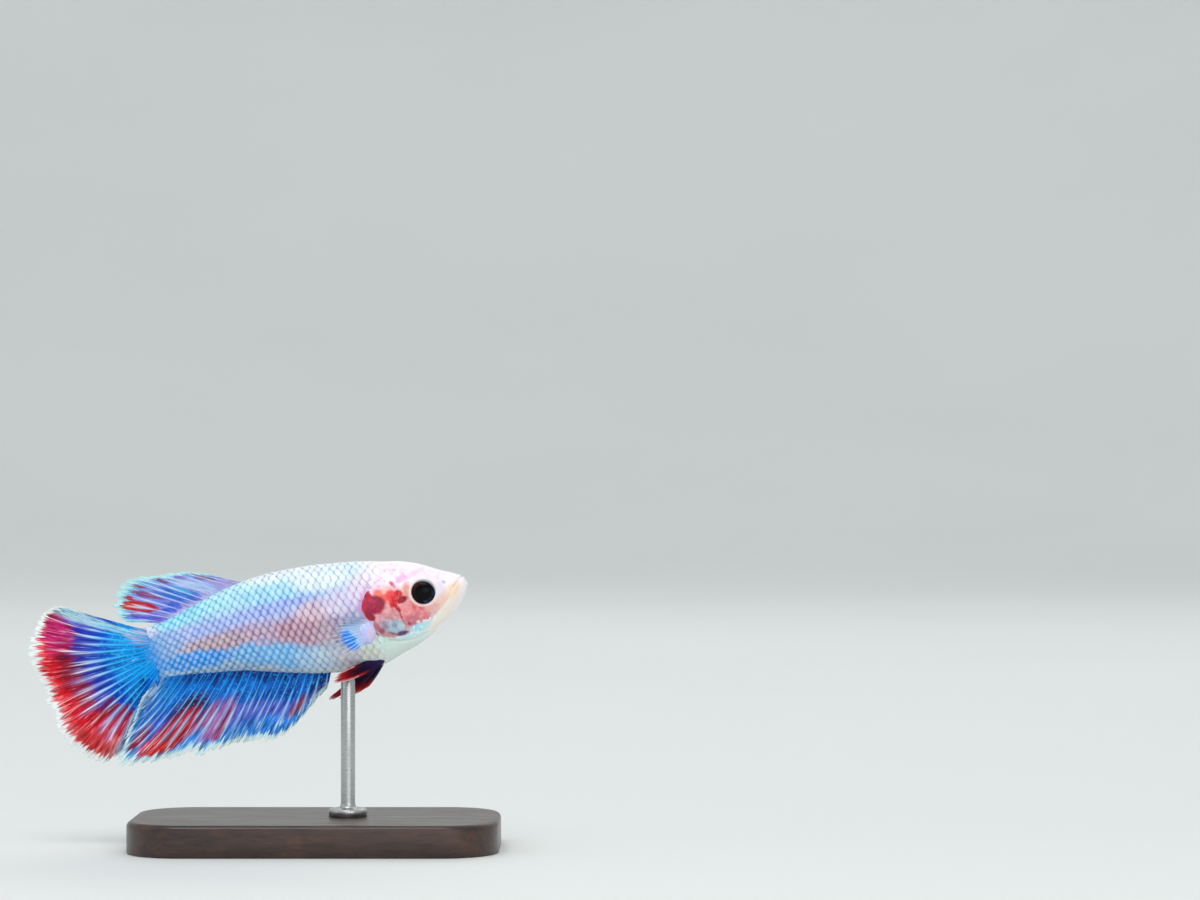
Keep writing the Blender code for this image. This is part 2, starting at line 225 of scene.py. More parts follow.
# %% Mesh and object
def piece(name, places, faces, finish, slot, bake_map=None, values=None):
    """A smooth-shaded object from points in the fish's frame, faces, and values at the points."""
    mesh = bpy.data.meshes.new(name)
    mesh.from_pydata(to_room(places).tolist(), [], [list(map(int, face)) for face in faces])
    mesh.shade_smooth()
    for label, value in (values or {}).items():
        kind = "FLOAT_VECTOR" if np.ndim(value) == 2 else "FLOAT"
        layer = mesh.attributes.new(label, kind, "POINT")
        layer.data.foreach_set("vector" if kind == "FLOAT_VECTOR" else "value", np.ravel(value))
    if bake_map is not None:
        corners = np.empty(len(mesh.loops), np.int32)
        mesh.loops.foreach_get("vertex_index", corners)
        spots = bake_map if len(bake_map) == len(corners) else bake_map[corners]
        mesh.uv_layers.new(name="OFBake").data.foreach_set("uv", np.ravel(spots))
    mesh.materials.append(finish.material)
    made = bpy.data.objects.new(name, mesh)
    bpy.context.scene.collection.objects.link(made)
    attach(made, "root")
    print(name, len(mesh.vertices), "points", sum(len(f) - 2 for f in faces), "triangles")
    return made


# %% [markdown]
# ## Drawing with nodes
# A material is a network of nodes. A `Paint` draws in one network: each of its methods adds a node
# and gives what the node puts out, so that a network reads as a few nested calls. Colours are
# written as usual web colours and turned into light values.


# %% Colours and nodes
def colour(code):
    """A web colour such as #a0c0ff as linear light with full alpha."""
    parts = [int(code[i : i + 2], 16) / 255 for i in (1, 3, 5)]
    return (*(c / 12.92 if c <= 0.04045 else ((c + 0.055) / 1.055) ** 2.4 for c in parts), 1.0)


WHITE = colour("#ffffff")


class Paint:
    """Draws in one node tree."""

    def __init__(self, tree):
        self.tree = tree

    def put(self, kind, sockets=None, **settings):
        """A node. `sockets` maps an input's name or number to a value or another node's output."""
        made = self.tree.nodes.new("ShaderNode" + kind)
        for key, value in settings.items():
            setattr(made, key, value)
        for key, value in (sockets or {}).items():
            if isinstance(value, bpy.types.NodeSocket):
                self.tree.links.new(value, made.inputs[key])
            else:
                made.inputs[key].default_value = value
        return made

    def sums(self, operation, a, b):
        """Two numbers put together by a Math node; add, less and times give a + b, a - b, a * b."""
        return self.put("Math", {0: a, 1: b}, operation=operation).outputs[0]

    def add(self, a, b):
        return self.sums("ADD", a, b)

    def less(self, a, b):
        return self.sums("SUBTRACT", a, b)

    def times(self, a, b):
        return self.sums("MULTIPLY", a, b)

    def vector(self, operation, a, b, output="Vector"):
        """Vector sums: b may be a fixed vector."""
        return self.put("VectorMath", {0: a, 1: b}, operation=operation).outputs[output]

    def grown(self, vector, size):
        """The vector times one number."""
        return self.put("VectorMath", {0: vector, "Scale": size}, operation="SCALE").outputs[0]

    def length(self, vector):
        """How long the vector is."""
        return self.put("VectorMath", {0: vector}, operation="LENGTH").outputs["Value"]

    def parts(self, vector):
        """The vector's x, y and z."""
        return self.put("SeparateXYZ", {0: vector}).outputs

    def step(self, value, low, high, start=0.0, end=1.0):
        """A smooth change from start to end as the value goes from low to high."""
        sockets = {"Value": value, "From Min": low, "From Max": high}
        sockets |= {"To Min": start, "To Max": end}
        made = self.put("MapRange", sockets, interpolation_type="SMOOTHSTEP", clamp=False)
        return made.outputs["Result"]

    def over(self, amount, below, above, how="MIX"):
        """One colour laid over another by an amount."""
        sockets = {0: amount, 6: below, 7: above}
        return self.put("Mix", sockets, data_type="RGBA", blend_type=how).outputs[2]

    def noise(self, place, scale, detail=2.0, rough=0.5, output="Fac"):
        """A cloud that varies smoothly from place to place, round 0.5; a larger scale is finer."""
        sockets = {"Vector": place, "Scale": scale, "Detail": detail, "Roughness": rough}
        return self.put("TexNoise", sockets).outputs[output]

    def ramp(self, value, stops):
        """Colours along a value; stops are (position, web colour)."""
        made = self.put("ValToRGB", {0: value})
        band = made.color_ramp.elements
        while len(band) < len(stops):
            band.new(0.5)
        for stop, (spot, code) in zip(band, stops, strict=True):
            stop.position, stop.color = spot, colour(code)
        return made.outputs[0]

    def read(self, label, output="Fac"):
        """A value that the mesh holds at its points."""
        return self.put("Attribute", attribute_name=label).outputs[output]

    def room_place(self):
        """Object coordinates, which are metres in the room."""
        return self.put("TexCoord").outputs["Object"]

    def stretched(self, place, scale):
        """The place with each of its axes times its own number."""
        return self.put("Mapping", {"Vector": place, "Scale": scale}).outputs[0]


print("mid grey is", round(colour("#808080")[0], 3), "of white's light")

# %% [markdown]
# ## Materials and groups
# A finish starts from the Principled shader, and its fixed numbers are set on the shader's own
# sockets. A group is drawn once and placed in several finishes. It puts out only colours and
# masks, and the shader stays in the material.

# %% New materials and groups
SHADER_SOCKETS = {
    "roughness": "Roughness",
    "specular": "Specular IOR Level",
    "coat": "Coat Weight",
    "coat_roughness": "Coat Roughness",
    "metallic": "Metallic",
}


class Finish(Paint):
    """A new material's Paint, with its fixed numbers set."""

    def __init__(self, name, **numbers):
        self.material = bpy.data.materials.new(name)
        self.material.use_nodes = True
        super().__init__(self.material.node_tree)
        self.shader = self.tree.nodes["Principled BSDF"]
        for label, number in numbers.items():
            self.shader.inputs[SHADER_SOCKETS[label]].default_value = number

    def feed(self, label, socket):
        """Link what a node puts out to one of the shader's sockets."""
        self.tree.links.new(socket, self.shader.inputs[label])

    def lift(self, height, strength, distance=0.0001):
        """A fine relief, in the shading only."""
        sockets = {"Height": height, "Strength": strength, "Distance": distance}
        self.feed("Normal", self.put("Bump", sockets).outputs[0])


class Group(Paint):
    """A new node group's Paint. Each socket is (name, kind) or (name, kind, value)."""

    def __init__(self, name, inputs, outputs):
        super().__init__(bpy.data.node_groups.new(name, "ShaderNodeTree"))
        for way, sockets in (("INPUT", inputs), ("OUTPUT", outputs)):
            for label, kind, *value in sockets:
                made = self.tree.interface.new_socket(label, in_out=way, socket_type=kind)
                if value:
                    made.default_value = value[0]
        self.given = self.tree.nodes.new("NodeGroupInput").outputs
        self.wanted = self.tree.nodes.new("NodeGroupOutput").inputs

    def give(self, number, socket):
        """Make this the group's output of that number, counted from 0."""
        self.tree.links.new(socket, self.wanted[number])

    def place_in(self, paint, *sockets):
        """What the group puts out when it is placed in another tree with these inputs."""
        return paint.put("Group", dict(enumerate(sockets)), node_tree=self.tree).outputs


COLOUR, NUMBER, PLACE = "NodeSocketColor", "NodeSocketFloat", "NodeSocketVector"
print("fixed numbers:", *SHADER_SOCKETS)

# %% [markdown]
# ## Where on the fish a point is
# The markings are described in the fish's own frame, so each material first turns Object
# coordinates, in metres in the room, back into millimetres on the level fish. A Mapping node of
# the Texture kind applies a move backwards, which is just what is needed.


# %% Place on the fish
def place_on_fish(paint):
    """Object coordinates, less the tail root, turned level and in millimetres."""
    sockets = {"Vector": paint.room_place(), "Location": TAIL_ROOT}
    sockets |= {"Rotation": (0.0, -NOSE_UP, 0.0), "Scale": (MM, MM, MM)}
    return paint.put("Mapping", sockets, vector_type="TEXTURE").outputs[0]


print("tail root in the room", np.round(to_room((0.0, 0.0, 0.0)), 4))

# %% [markdown]
# ## Soft patches
# A betta's colours run into each other with no hard edge. They could be painted by hand, but
# soft ellipses laid one over the other need no file and are fine enough at any size. A patch is
# x, z, half length, half height, turn in degrees, softness, strength and colour. Each takes a
# few vector nodes and no more, because one material holds dozens of patches.


# %% Laying soft patches
def soft_patch(paint, place, x, z, length, height, turn, softness, strength):
    """A soft ellipse: its strength inside, falling to 0 across its edge. The place is measured
    from the middle along the ellipse's two axes, as shares of its half lengths."""
    away = paint.vector("SUBTRACT", place, (x, 0.0, z))
    if turn:
        c, s = math.cos(math.radians(turn)), math.sin(math.radians(turn))
        axes = (c / length, 0.0, s / length), (-s / height, 0.0, c / height)
        lengths = [paint.vector("DOT_PRODUCT", away, axis, "Value") for axis in axes]
        away = paint.put("CombineXYZ", dict(enumerate(lengths))).outputs[0]
    else:
        away = paint.vector("MULTIPLY", away, (1 / length, 0.0, 1 / height))
    return paint.step(paint.length(away), 1 - softness / 2, 1 + softness / 2, strength, 0.0)


def lay_patches(paint, place, below, patches, through_cloud=None):
    """Lay the patches in their order, all of them only where the cloud is, if there is one."""
    for *shape, code in patches.values():
        mask = soft_patch(paint, place, *shape)
        if through_cloud is not None:
            mask = paint.times(mask, through_cloud)
        below = paint.over(mask, below, colour(code))
    return below


def drift_of(paint, place, scale, size):
    """(noise colour - 0.5) * size: how far a patch's edge wanders at a place."""
    cloud = paint.noise(place, scale, 3.0, 0.6, "Color")
    return paint.grown(paint.vector("ADD", cloud, (-0.5, -0.5, -0.5)), size)


print("a patch of softness 0.5 is full to", 1 - 0.5 / 2, "and gone at", 1 + 0.5 / 2)

# %% [markdown]
# ## The colours of the flank
# This betta is pearly. White along the back, partly its own pale colour and partly painted light
# from above, turns to pale cyan, then lavender, a warm mauve stripe along the middle, sky blue
# below it and silver grey at the belly. The patches run from the tail forward. A second set, for
# the net of dark pigment between the scales, follows the first.

# %% Flank and net patches
FLANK_PATCHES = {
    "blue at the tail root": (-0.4, -0.8, 1.6, 3.4, 0, 0.5, 0.9, "#2c96e0"),
    # white at the top of the stalk: partly the fish's pale colour, partly painted light from above
    "white stalk top with painted top light": (1.0, 3.0, 1.8, 1.1, 10, 0.6, 0.85, "#f4e8f4"),
    "grey blue of the stalk": (2.2, 0.2, 2.8, 2.4, 0, 0.6, 0.85, "#74aee8"),
    "cyan back of the stalk": (5.5, 4.0, 4.2, 1.2, 10, 0.6, 0.85, "#7ae4fa"),
    "bright cyan under the dorsal fin": (11.0, 4.9, 3.6, 1.3, 12, 0.6, 0.75, "#a6f0fb"),
    "cyan flank": (16.5, 4.1, 4.4, 1.3, 0, 0.6, 0.85, "#9fe2fa"),
    # white at the top behind the head: partly the fish's pale colour, partly painted light from
    # above
    "white shoulder with painted top light": (23.5, 4.8, 3.6, 2.0, -8, 0.6, 0.8, "#f0fbff"),
    "periwinkle band": (16.0, 2.4, 6.5, 0.7, 2, 0.8, 0.75, "#98acf8"),
    "lavender band": (8.5, 1.8, 5.5, 0.9, 3, 0.7, 0.7, "#9cb6f6"),
    "mauve band": (15.5, -0.55, 9.5, 1.25, -3, 0.8, 0.9, "#b294c4"),
    "warm grey stripe": (9.5, -0.3, 4.8, 0.85, 0, 0.8, 0.9, "#c2a2aa"),
    "mauve stripe": (15.0, -0.5, 3.4, 1.25, -12, 0.8, 0.7, "#c4a0bc"),
    "salmon mauve": (20.0, -1.4, 3.6, 1.9, -10, 0.7, 0.95, "#c0889e"),
    "pink behind the shoulder": (22.0, 0.9, 2.6, 1.3, 0, 0.8, 0.8, "#e8bfcb"),
    "lavender shoulder": (25.0, 1.2, 2.2, 1.7, 0, 0.6, 0.75, "#e2daf6"),
    "pink nape": (28.2, 2.6, 1.9, 1.6, 20, 0.9, 0.6, "#fcdcf0"),
    "sky blue patch": (6.0, -2.0, 4.4, 1.15, -2, 0.5, 1.0, "#149cfa"),
    "deep sky blue": (3.6, -2.0, 1.8, 0.9, 0, 0.6, 0.8, "#2c98ee"),
    "light blue flank": (13.2, -2.9, 2.8, 1.4, -14, 0.6, 0.95, "#66bcfc"),
    "light blue belly": (17.2, -4.0, 2.7, 1.6, -16, 0.7, 0.95, "#6cc2fe"),
    "pale blue belly": (20.2, -5.2, 2.2, 1.3, -14, 0.7, 0.9, "#b4e0fa"),
    "silver lower edge": (9.0, -3.75, 4.6, 0.6, -6, 0.6, 0.85, "#90bcdc"),
    "grey belly": (22.3, -5.6, 1.8, 1.3, -8, 0.8, 0.8, "#cfe4f4"),
    "grey lilac chest": (25.0, -5.6, 1.7, 1.5, 0, 0.8, 0.85, "#dad8e2"),
    "mauve behind the fin": (22.8, -2.2, 2.1, 1.4, 0, 0.8, 0.85, "#c49ab0"),
    "mint chest": (28.9, -5.4, 2.2, 1.3, 0, 0.7, 0.95, "#dcf4ea"),
    # painted shadow: a beige patch low on the chest
    "beige painted shadow on the chest": (27.3, -6.0, 1.3, 0.7, 0, 0.8, 0.8, "#dcdccc"),
    # painted highlight: a pale mint streak on the chest
    "painted mint highlight": (27.2, -4.8, 1.6, 0.45, 12, 0.8, 0.9, "#ecfaee"),
    "blue tail root": (-0.3, -1.1, 1.9, 3.0, 0, 0.9, 0.9, "#2c96ea"),
}
NET_PATCHES = {
    "violet net": (15.5, 2.2, 7.0, 1.5, 0, 0.7, 0.9, "#6a66dc"),
    "wine net": (20.5, -0.6, 4.6, 2.4, -10, 0.6, 1.0, "#7c4a66"),
    "grey net": (9.5, -0.4, 5.6, 1.1, 0, 0.6, 1.0, "#5f5674"),
    "blue net": (7.0, -2.3, 7.5, 1.4, -4, 0.5, 1.0, "#107cd0"),
    "slate net": (9.0, -3.9, 6.0, 0.7, -6, 0.6, 0.9, "#507cac"),
    "light blue net": (17.5, -4.2, 4.8, 2.0, -14, 0.6, 0.9, "#5aa8f4"),
    "cyan net": (11.5, 5.0, 6.5, 1.3, 8, 0.7, 0.9, "#5aa4ec"),
    "pale net": (24.5, 5.0, 5.5, 2.2, -8, 0.6, 1.0, "#a8b2ec"),
    "pink net": (26.5, 1.4, 2.6, 2.6, 0, 0.7, 0.9, "#e28cc6"),
    "mauve net": (23.6, -2.6, 2.2, 1.8, 0, 0.6, 0.9, "#8c7088"),
    "chest net": (26.0, -5.6, 4.5, 1.6, 0, 0.6, 1.0, "#a6a6aa"),
}
print(len(FLANK_PATCHES), "patches on the flank,", len(NET_PATCHES), "in the net")

# %% [markdown]
# ## The colours of the head
# The head is pink-white, with a salmon cheek, a crimson gill cover and a mint throat. Its patches
# are smaller and closer than the flank's. Flecks are patches that show only where a cloud of
# noise is thick, which breaks them up as the fish's own pigment cells do.

# %% Head patches and flecks
HEAD_PATCHES = {
    "pink crown": (32.7, 2.35, 0.9, 0.4, 10, 0.9, 0.6, "#ff9fe2"),
    "pink brow": (34.3, 2.6, 1.6, 0.3, 15, 0.9, 0.35, "#ffb4ea"),
    "mint throat": (31.5, -5.9, 4.6, 1.2, 25, 0.5, 1.0, "#e6f3ee"),
    "blush wash": (31.6, -1.5, 4.3, 2.7, 0, 0.5, 0.9, "#f0b4b6"),
    "lilac wash": (30.4, -3.4, 2.1, 0.9, -14, 0.7, 0.85, "#b9a3b6"),
    "salmon cheek": (34.0, -2.15, 2.3, 1.6, 10, 0.6, 1.0, "#e58891"),
    "light cheek": (32.9, -1.55, 0.9, 0.75, 0, 0.8, 0.85, "#f9a2a4"),
    "rose under the eye": (34.4, -1.5, 0.95, 0.6, -20, 0.8, 0.75, "#e46474"),
    "rose lower cheek": (33.2, -3.0, 1.0, 0.6, 0, 0.8, 0.7, "#cc7488"),
    "fading cheek": (36.0, -1.9, 0.9, 1.1, 30, 0.9, 0.85, "#f0c4c0"),
    "peach muzzle": (37.4, -1.2, 1.3, 0.7, 40, 0.9, 0.8, "#f9c9b2"),
    "cream lip": (38.9, -0.5, 1.2, 0.8, 40, 0.8, 0.9, "#ffe3cd"),
    "lilac before the eye": (37.2, -0.1, 0.8, 0.9, 0, 0.9, 0.5, "#ece2f6"),
    "peach behind the eye": (33.35, 0.8, 0.5, 0.9, 0, 0.9, 0.9, "#fdb9a8"),
    "pink before the gill": (30.6, 0.9, 1.6, 1.0, 0, 0.9, 0.8, "#ffc4bc"),
    "orange gill top": (29.75, 1.1, 0.5, 0.6, -20, 0.8, 0.95, "#ff8572"),
    "orange middle": (30.6, 0.45, 0.75, 0.5, -25, 0.8, 0.95, "#ff6a58"),
    "red orange": (31.3, 0.7, 0.6, 0.6, 0, 0.8, 0.95, "#f8484a"),
    "gill cover rose": (30.5, -1.6, 1.35, 0.85, -12, 0.6, 0.95, "#e0939b"),
    "pale gill rose": (30.4, -1.15, 0.7, 0.3, 10, 0.9, 0.8, "#f2b0b2"),
    "mauve gill": (30.3, -2.5, 1.2, 0.5, -10, 0.8, 0.8, "#bf9db2"),
    "crimson gill": (28.95, -0.1, 1.5, 1.2, -10, 0.4, 1.0, "#a80440"),
    "crimson gill top": (28.5, 1.1, 0.5, 0.75, 10, 0.5, 1.0, "#c80838"),
    "crimson gill right": (29.9, -0.15, 0.55, 0.55, 0, 0.7, 0.95, "#a40a3c"),
    "crimson gill bottom": (28.15, -1.2, 0.95, 0.5, -65, 0.5, 1.0, "#a00838"),
    "bright gill edge": (27.75, 0.2, 0.3, 1.2, 0, 0.8, 0.7, "#d0003c"),
    "magenta mottle": (28.75, 0.45, 0.6, 0.3, -20, 0.9, 0.5, "#d03068"),
    "crimson streak": (31.45, -0.25, 0.55, 0.8, -20, 0.7, 1.0, "#d81432"),
    "crimson upper": (32.2, 0.55, 0.6, 0.5, -35, 0.7, 1.0, "#cc0a30"),
    "dark red spike": (32.5, -0.25, 0.65, 0.42, 0, 0.6, 1.0, "#a60424"),
    "red root": (31.75, -1.05, 0.65, 0.24, -72, 0.7, 1.0, "#c81c34"),
    "groove wine": (31.93, -2.1, 0.85, 0.1, -76, 0.9, 0.75, "#a02848"),
    "rose fleck": (31.7, 1.85, 0.55, 0.22, -52, 0.6, 0.95, "#f0508a"),
    "white fleck": (32.0, 2.3, 0.32, 0.26, 0, 0.8, 0.9, "#ffffff"),
    "silver gill": (31.0, -3.25, 1.15, 0.8, -8, 0.5, 1.0, "#aec6d6"),
    "pale silver": (31.7, -3.4, 0.45, 0.5, 0, 0.8, 0.8, "#cde0e6"),
    "slate gill": (29.95, -2.85, 0.4, 0.5, 0, 0.8, 0.8, "#858dac"),
    "slate fleck": (30.9, -3.05, 0.4, 0.3, 0, 0.9, 0.6, "#7f93b4"),
    "rose gill rim": (28.75, -2.9, 1.15, 0.36, -62, 0.7, 0.9, "#c86f7e"),
    "rose lower rim": (29.9, -4.15, 1.0, 0.28, -32, 0.7, 0.85, "#c98a90"),
    "wine rim": (29.3, -3.5, 0.4, 0.3, 0, 0.9, 0.8, "#a04058"),
    "purple gill edge": (31.75, -4.3, 0.8, 0.3, -6, 0.6, 0.95, "#53336c"),
    "brown gill edge": (30.6, -4.15, 0.6, 0.16, -25, 0.8, 0.7, "#84505f"),
    "pale cyan jaw line": (33.6, -4.05, 1.05, 0.45, 8, 0.6, 1.0, "#a4e0fa"),
    "cyan jaw": (34.9, -3.8, 1.3, 0.42, 18, 0.7, 0.9, "#c8eef6"),
    "pale jaw line": (32.4, -4.9, 1.9, 0.22, 0, 0.6, 0.95, "#cdeef6"),
    "cream lower jaw": (37.2, -2.95, 2.9, 0.66, 36, 0.5, 1.0, "#fbf1e4"),
    "lilac nostril": (37.95, 0.8, 0.26, 0.26, 0, 0.9, 0.75, "#c6baf4"),
    "wine fleck": (32.75, -3.3, 0.2, 0.18, 0, 0.9, 0.8, "#8a3a58"),
}
FLECKS = {  # noise scale, where a fleck starts and is full, and the patches they fill
    "large": (1.3, 0.47, 0.68, {
        "pink flecks on the crown": (31.0, 2.9, 3.8, 1.5, -8, 0.8, 0.7, "#ffa4e2"),
        "pink flecks before the eye": (36.6, 1.6, 1.6, 1.2, -20, 0.9, 0.4, "#ffc6e6"),
    }),
    "small": (2.3, 0.5, 0.62, {
        "magenta flecks": (28.9, 0.0, 1.3, 1.0, -10, 0.5, 0.3, "#d42c64"),
        "rose flecks": (33.6, -1.9, 2.4, 1.5, 10, 0.6, 0.5, "#fbb6b6"),
        "pale flecks on the gill": (30.7, -2.2, 1.3, 1.2, -10, 0.6, 0.45, "#f3d0d6"),
        "orange flecks": (31.5, 0.2, 1.2, 0.9, 0, 0.6, 0.6, "#ff5a44"),
        "white flecks on the jaw": (34.4, -4.0, 3.0, 0.9, 22, 0.7, 0.8, "#f6ffff"),
    }),
}
flecked = sum(len(row[-1]) for row in FLECKS.values())
print(len(HEAD_PATCHES), "patches on the head and", flecked, "flecked ones")

# %% [markdown]
# ## One pattern for skin and scales
# Skin and scales have the same pattern, so that it runs on unbroken from one to the other: it is
# one group, placed in both materials. A ramp of bands from belly to back lies below the patches.
# A little noise moves the place first, so that no patch has a clean edge.

# %% Group: markings
MARKS_SHIFT = (-0.18, 0.0, -0.1)  # what the noise's own middle adds, taken off again
BELLY_HEIGHT, BACK_HEIGHT = -8.0, 7.0
HEAD_START = (26.6, 30.4)
HEAD_GROUND, NET_GROUND = colour("#fff6fb"), colour("#6d9be0")
# the bands' white top is partly the fish's own pale back and partly painted light from above
BANDS_AND_TOP_LIGHT = (
    (0.0, "#e2ece6"), (0.2, "#b9c9d6"), (0.36, "#93c4ea"), (0.5, "#adb0d6"),
    (0.62, "#b3baf0"), (0.72, "#a2d6f8"), (0.84, "#bdeefa"), (0.95, "#f2fafc"),
)  # fmt: skip
markings = Group("betta markings", [("Place", PLACE)], [("Colour", COLOUR), ("Net", COLOUR)])
drift = drift_of(markings, markings.given[0], 1.1, 1.1)
shifted = markings.vector("ADD", markings.given[0], MARKS_SHIFT)
moved = markings.vector("ADD", shifted, drift)
x_part, _, z_part = markings.parts(moved)
sockets = {"Value": z_part, "From Min": BELLY_HEIGHT, "From Max": BACK_HEIGHT}
level = markings.put("MapRange", sockets, clamp=False).outputs[0]
bands = markings.ramp(level, BANDS_AND_TOP_LIGHT)
bands = markings.over(markings.step(x_part, *HEAD_START), bands, HEAD_GROUND)
body_colour = lay_patches(markings, moved, bands, FLANK_PATCHES)
net_colour = lay_patches(markings, moved, NET_GROUND, NET_PATCHES)
markings.give(0, body_colour)
markings.give(1, net_colour)
print("markings group", len(markings.tree.nodes), "nodes")

# %% [markdown]
# ## The head's pattern
# The head's patches are a second group, laid over the first one's colour in the skin only. The
# head has next to no scales, and the scales' material stays light without it. A mottle lightens
# and darkens all of it a little, because bare skin is never one even colour.

# %% Group: head markings
MOTTLE_STRENGTH = 0.34
head_marks = Group(
    "betta head markings", [("Place", PLACE), ("Below", COLOUR, (1, 1, 1, 1))], [("Colour", COLOUR)]
)
little = drift_of(head_marks, head_marks.given[0], 0.9, 0.6)
fine = drift_of(head_marks, head_marks.given[0], 3.0, 0.2)
near = head_marks.vector("ADD", head_marks.given[0], little)
near = head_marks.vector("ADD", near, fine)
near = head_marks.vector("ADD", near, MARKS_SHIFT)
head_colour = lay_patches(head_marks, near, head_marks.given[1], HEAD_PATCHES)
for cloud_scale, low, high, patches in FLECKS.values():
    cloud = head_marks.noise(head_marks.given[0], cloud_scale, 4.0, 0.6)
    cloud = head_marks.step(cloud, low, high)
    head_colour = lay_patches(head_marks, near, head_colour, patches, cloud)
mottle = head_marks.noise(head_marks.given[0], 1.9, 4.0, 0.6)
mottle = head_marks.ramp(mottle, ((0.3, "#606068"), (0.5, "#8a8a8a"), (0.72, "#d4d4d4")))
head_marks.give(0, head_marks.over(MOTTLE_STRENGTH, head_colour, mottle, "OVERLAY"))
print("head markings group", len(head_marks.tree.nodes), "nodes")

# %% [markdown]
# ## The body's surface
# The body is spindle-shaped and deepest behind the head. It could be sculpted, but as a loft it
# is known everywhere, so scales can be laid on it. Each section across it is nearly an ellipse,
# leaning towards a keel at the back and belly. The rows are x, back, belly and half width, which
# are the sizes of the solids. The skin lies a scale's depth inside them.

# %% Body sections
BODY_STATIONS = (
    (0.0, 3.55, -3.45, 0.6), (1.2, 3.7, -3.5, 0.85), (3.5, 4.15, -3.65, 1.25),
    (7.0, 5.1, -4.1, 1.85), (11.0, 6.15, -4.65, 2.5), (16.0, 6.8, -6.0, 3.15),
    (21.0, 6.75, -7.2, 3.6), (25.0, 6.35, -7.8, 3.8), (28.5, 5.8, -7.8, 3.75),
    (32.0, 4.95, -6.65, 3.45), (35.3, 3.85, -5.25, 2.95), (38.0, 2.4, -3.55, 2.3),
    (39.6, 1.6, -2.2, 1.75), (40.6, 0.9, -0.85, 1.05), (41.0, 0.12, -0.08, 0.1),
)
KEEL = 0.10
MIDDLE = 0.46  # the widest level, as a share of the way from back to belly
SCALE_DEPTH = 0.2
ROW_COUNT = 1601
row_numbers = np.arange(ROW_COUNT)
sections = through(with_lengths(BODY_STATIONS), np.linspace(0.0, 1.0, ROW_COUNT))


def skin_depth(x):
    """How far the skin lies inside the solids: the bare head is nearly as far out as they are."""
    return SCALE_DEPTH * (1 - 0.9 * smooth(x, 30.5, 33.5))


def section_point(section, angle):
    """A point of the section: x, then half width * cos a * (1 - keel * sin^2 a), then the middle
    plus the reach to back or belly times sin a. The angle is 90 degrees at the back."""
    x, back, belly, half_width = np.moveaxis(section, -1, 0)
    middle = back + (belly - back) * MIDDLE
    rise = np.sin(angle)
    reach = np.where(rise > 0, back - middle, middle - belly)
    y = half_width * np.cos(angle) * (1 - KEEL * rise * rise)
    return np.stack([x + 0 * y, y, middle + reach * rise], -1)


print("deepest section", np.round(sections[np.argmax(sections[:, 1] - sections[:, 2])], 2))

# %% [markdown]
# ## Arc length round the body
# Scales have one size however the body curves, so they are placed by arc length from the back's
# ridge. Half of every section is measured once, and a table then turns a share of that half girth
# into the section's angle.

# %% Angle table
ANGLE_STEPS = 100
angles = np.linspace(math.pi / 2, -math.pi / 2, 161)
half_loops = section_point(sections[:, None], angles[None, :])
arcs = np.linalg.norm(np.diff(half_loops, axis=1), axis=-1)
arcs = np.concatenate([np.zeros((ROW_COUNT, 1)), np.cumsum(arcs, axis=1)], axis=1)
half_girth = arcs[:, -1]
even = np.linspace(0.0, 1.0, ANGLE_STEPS + 1)
angle_table = np.array([np.interp(even, arc / arc[-1], angles) for arc in arcs])


def table_angle(row, part):
    """The angle for a share of the half girth, read between the table's entries."""
    i = np.clip(row.astype(int), 0, ROW_COUNT - 2)
    j = np.clip((part * ANGLE_STEPS).astype(int), 0, ANGLE_STEPS - 1)
    a, b = row - i, part * ANGLE_STEPS - j
    low = angle_table[i, j] * (1 - b) + angle_table[i, j + 1] * b
    high = angle_table[i + 1, j] * (1 - b) + angle_table[i + 1, j + 1] * b
    return low * (1 - a) + high * a


def row_at(x):
    """The table's row at x, as a number with a fraction."""
    return np.interp(x, sections[:, 0], row_numbers)


def section_at(row):
    """The section at a row with a fraction, between the rows beside it."""
    return np.stack([np.interp(row, row_numbers, column) for column in sections.T], -1)


def girth_at(x):
    """Half the girth at x, between the rows beside it."""
    return np.interp(x, sections[:, 0], half_girth)


print("half girth from 0 to 40 mm", girth_at(np.arange(0, 41, 10)).round(1))

# %% [markdown]
# ## Any place on the body
# With the table, x and an arc length are enough to find a point of the body and which way it
# faces. The scales are rooted in the body and laid over it with this one function.


# %% A place on the body
def body_place(x, arc, left):
    """Point and outward normal of the body at x, an arc length from the back's ridge, on the
    left where `left` is true. Past the ridge or the keel it carries on up the other side. The
    normal is the cross product of small steps along and round the body."""
    girth = girth_at(x)
    side = np.where(left, 1.0, -1.0) * np.where((arc < 0) | (arc > girth), -1.0, 1.0)
    arc = np.abs(arc)
    arc = np.where(arc > girth, 2 * girth - arc, arc)
    part = np.clip(arc / girth, 0.0, 1.0)
    angle = table_angle(row_at(x), part)
    small = 0.02

    def at(x_here, angle_here):
        spot = section_point(section_at(row_at(x_here)), angle_here)
        spot[..., 1] *= side
        return spot

    ahead = at(x + small, angle) - at(x - small, angle)
    round_it = at(x, angle - small) - at(x, angle + small)
    normal = np.cross(ahead, round_it) * side[..., None]
    size = np.linalg.norm(normal, axis=-1, keepdims=True)
    return at(x, angle), normal / np.maximum(size, 1e-12)


spot, out = body_place(np.array([20.0]), np.array([8.0]), np.array([False]))
print("right flank", np.round(spot, 2), "faces", np.round(out, 2))

# %% [markdown]
# ## Lines of the head
# The head's parts show as folds: the gill cover's free edge and the groove in front of it, the
# mouth's cleft, the lower jaw's crease and the nostril. Cut as separate pieces they would show
# seams, so they are lines of the side view, and the skin is pushed in or out near them.

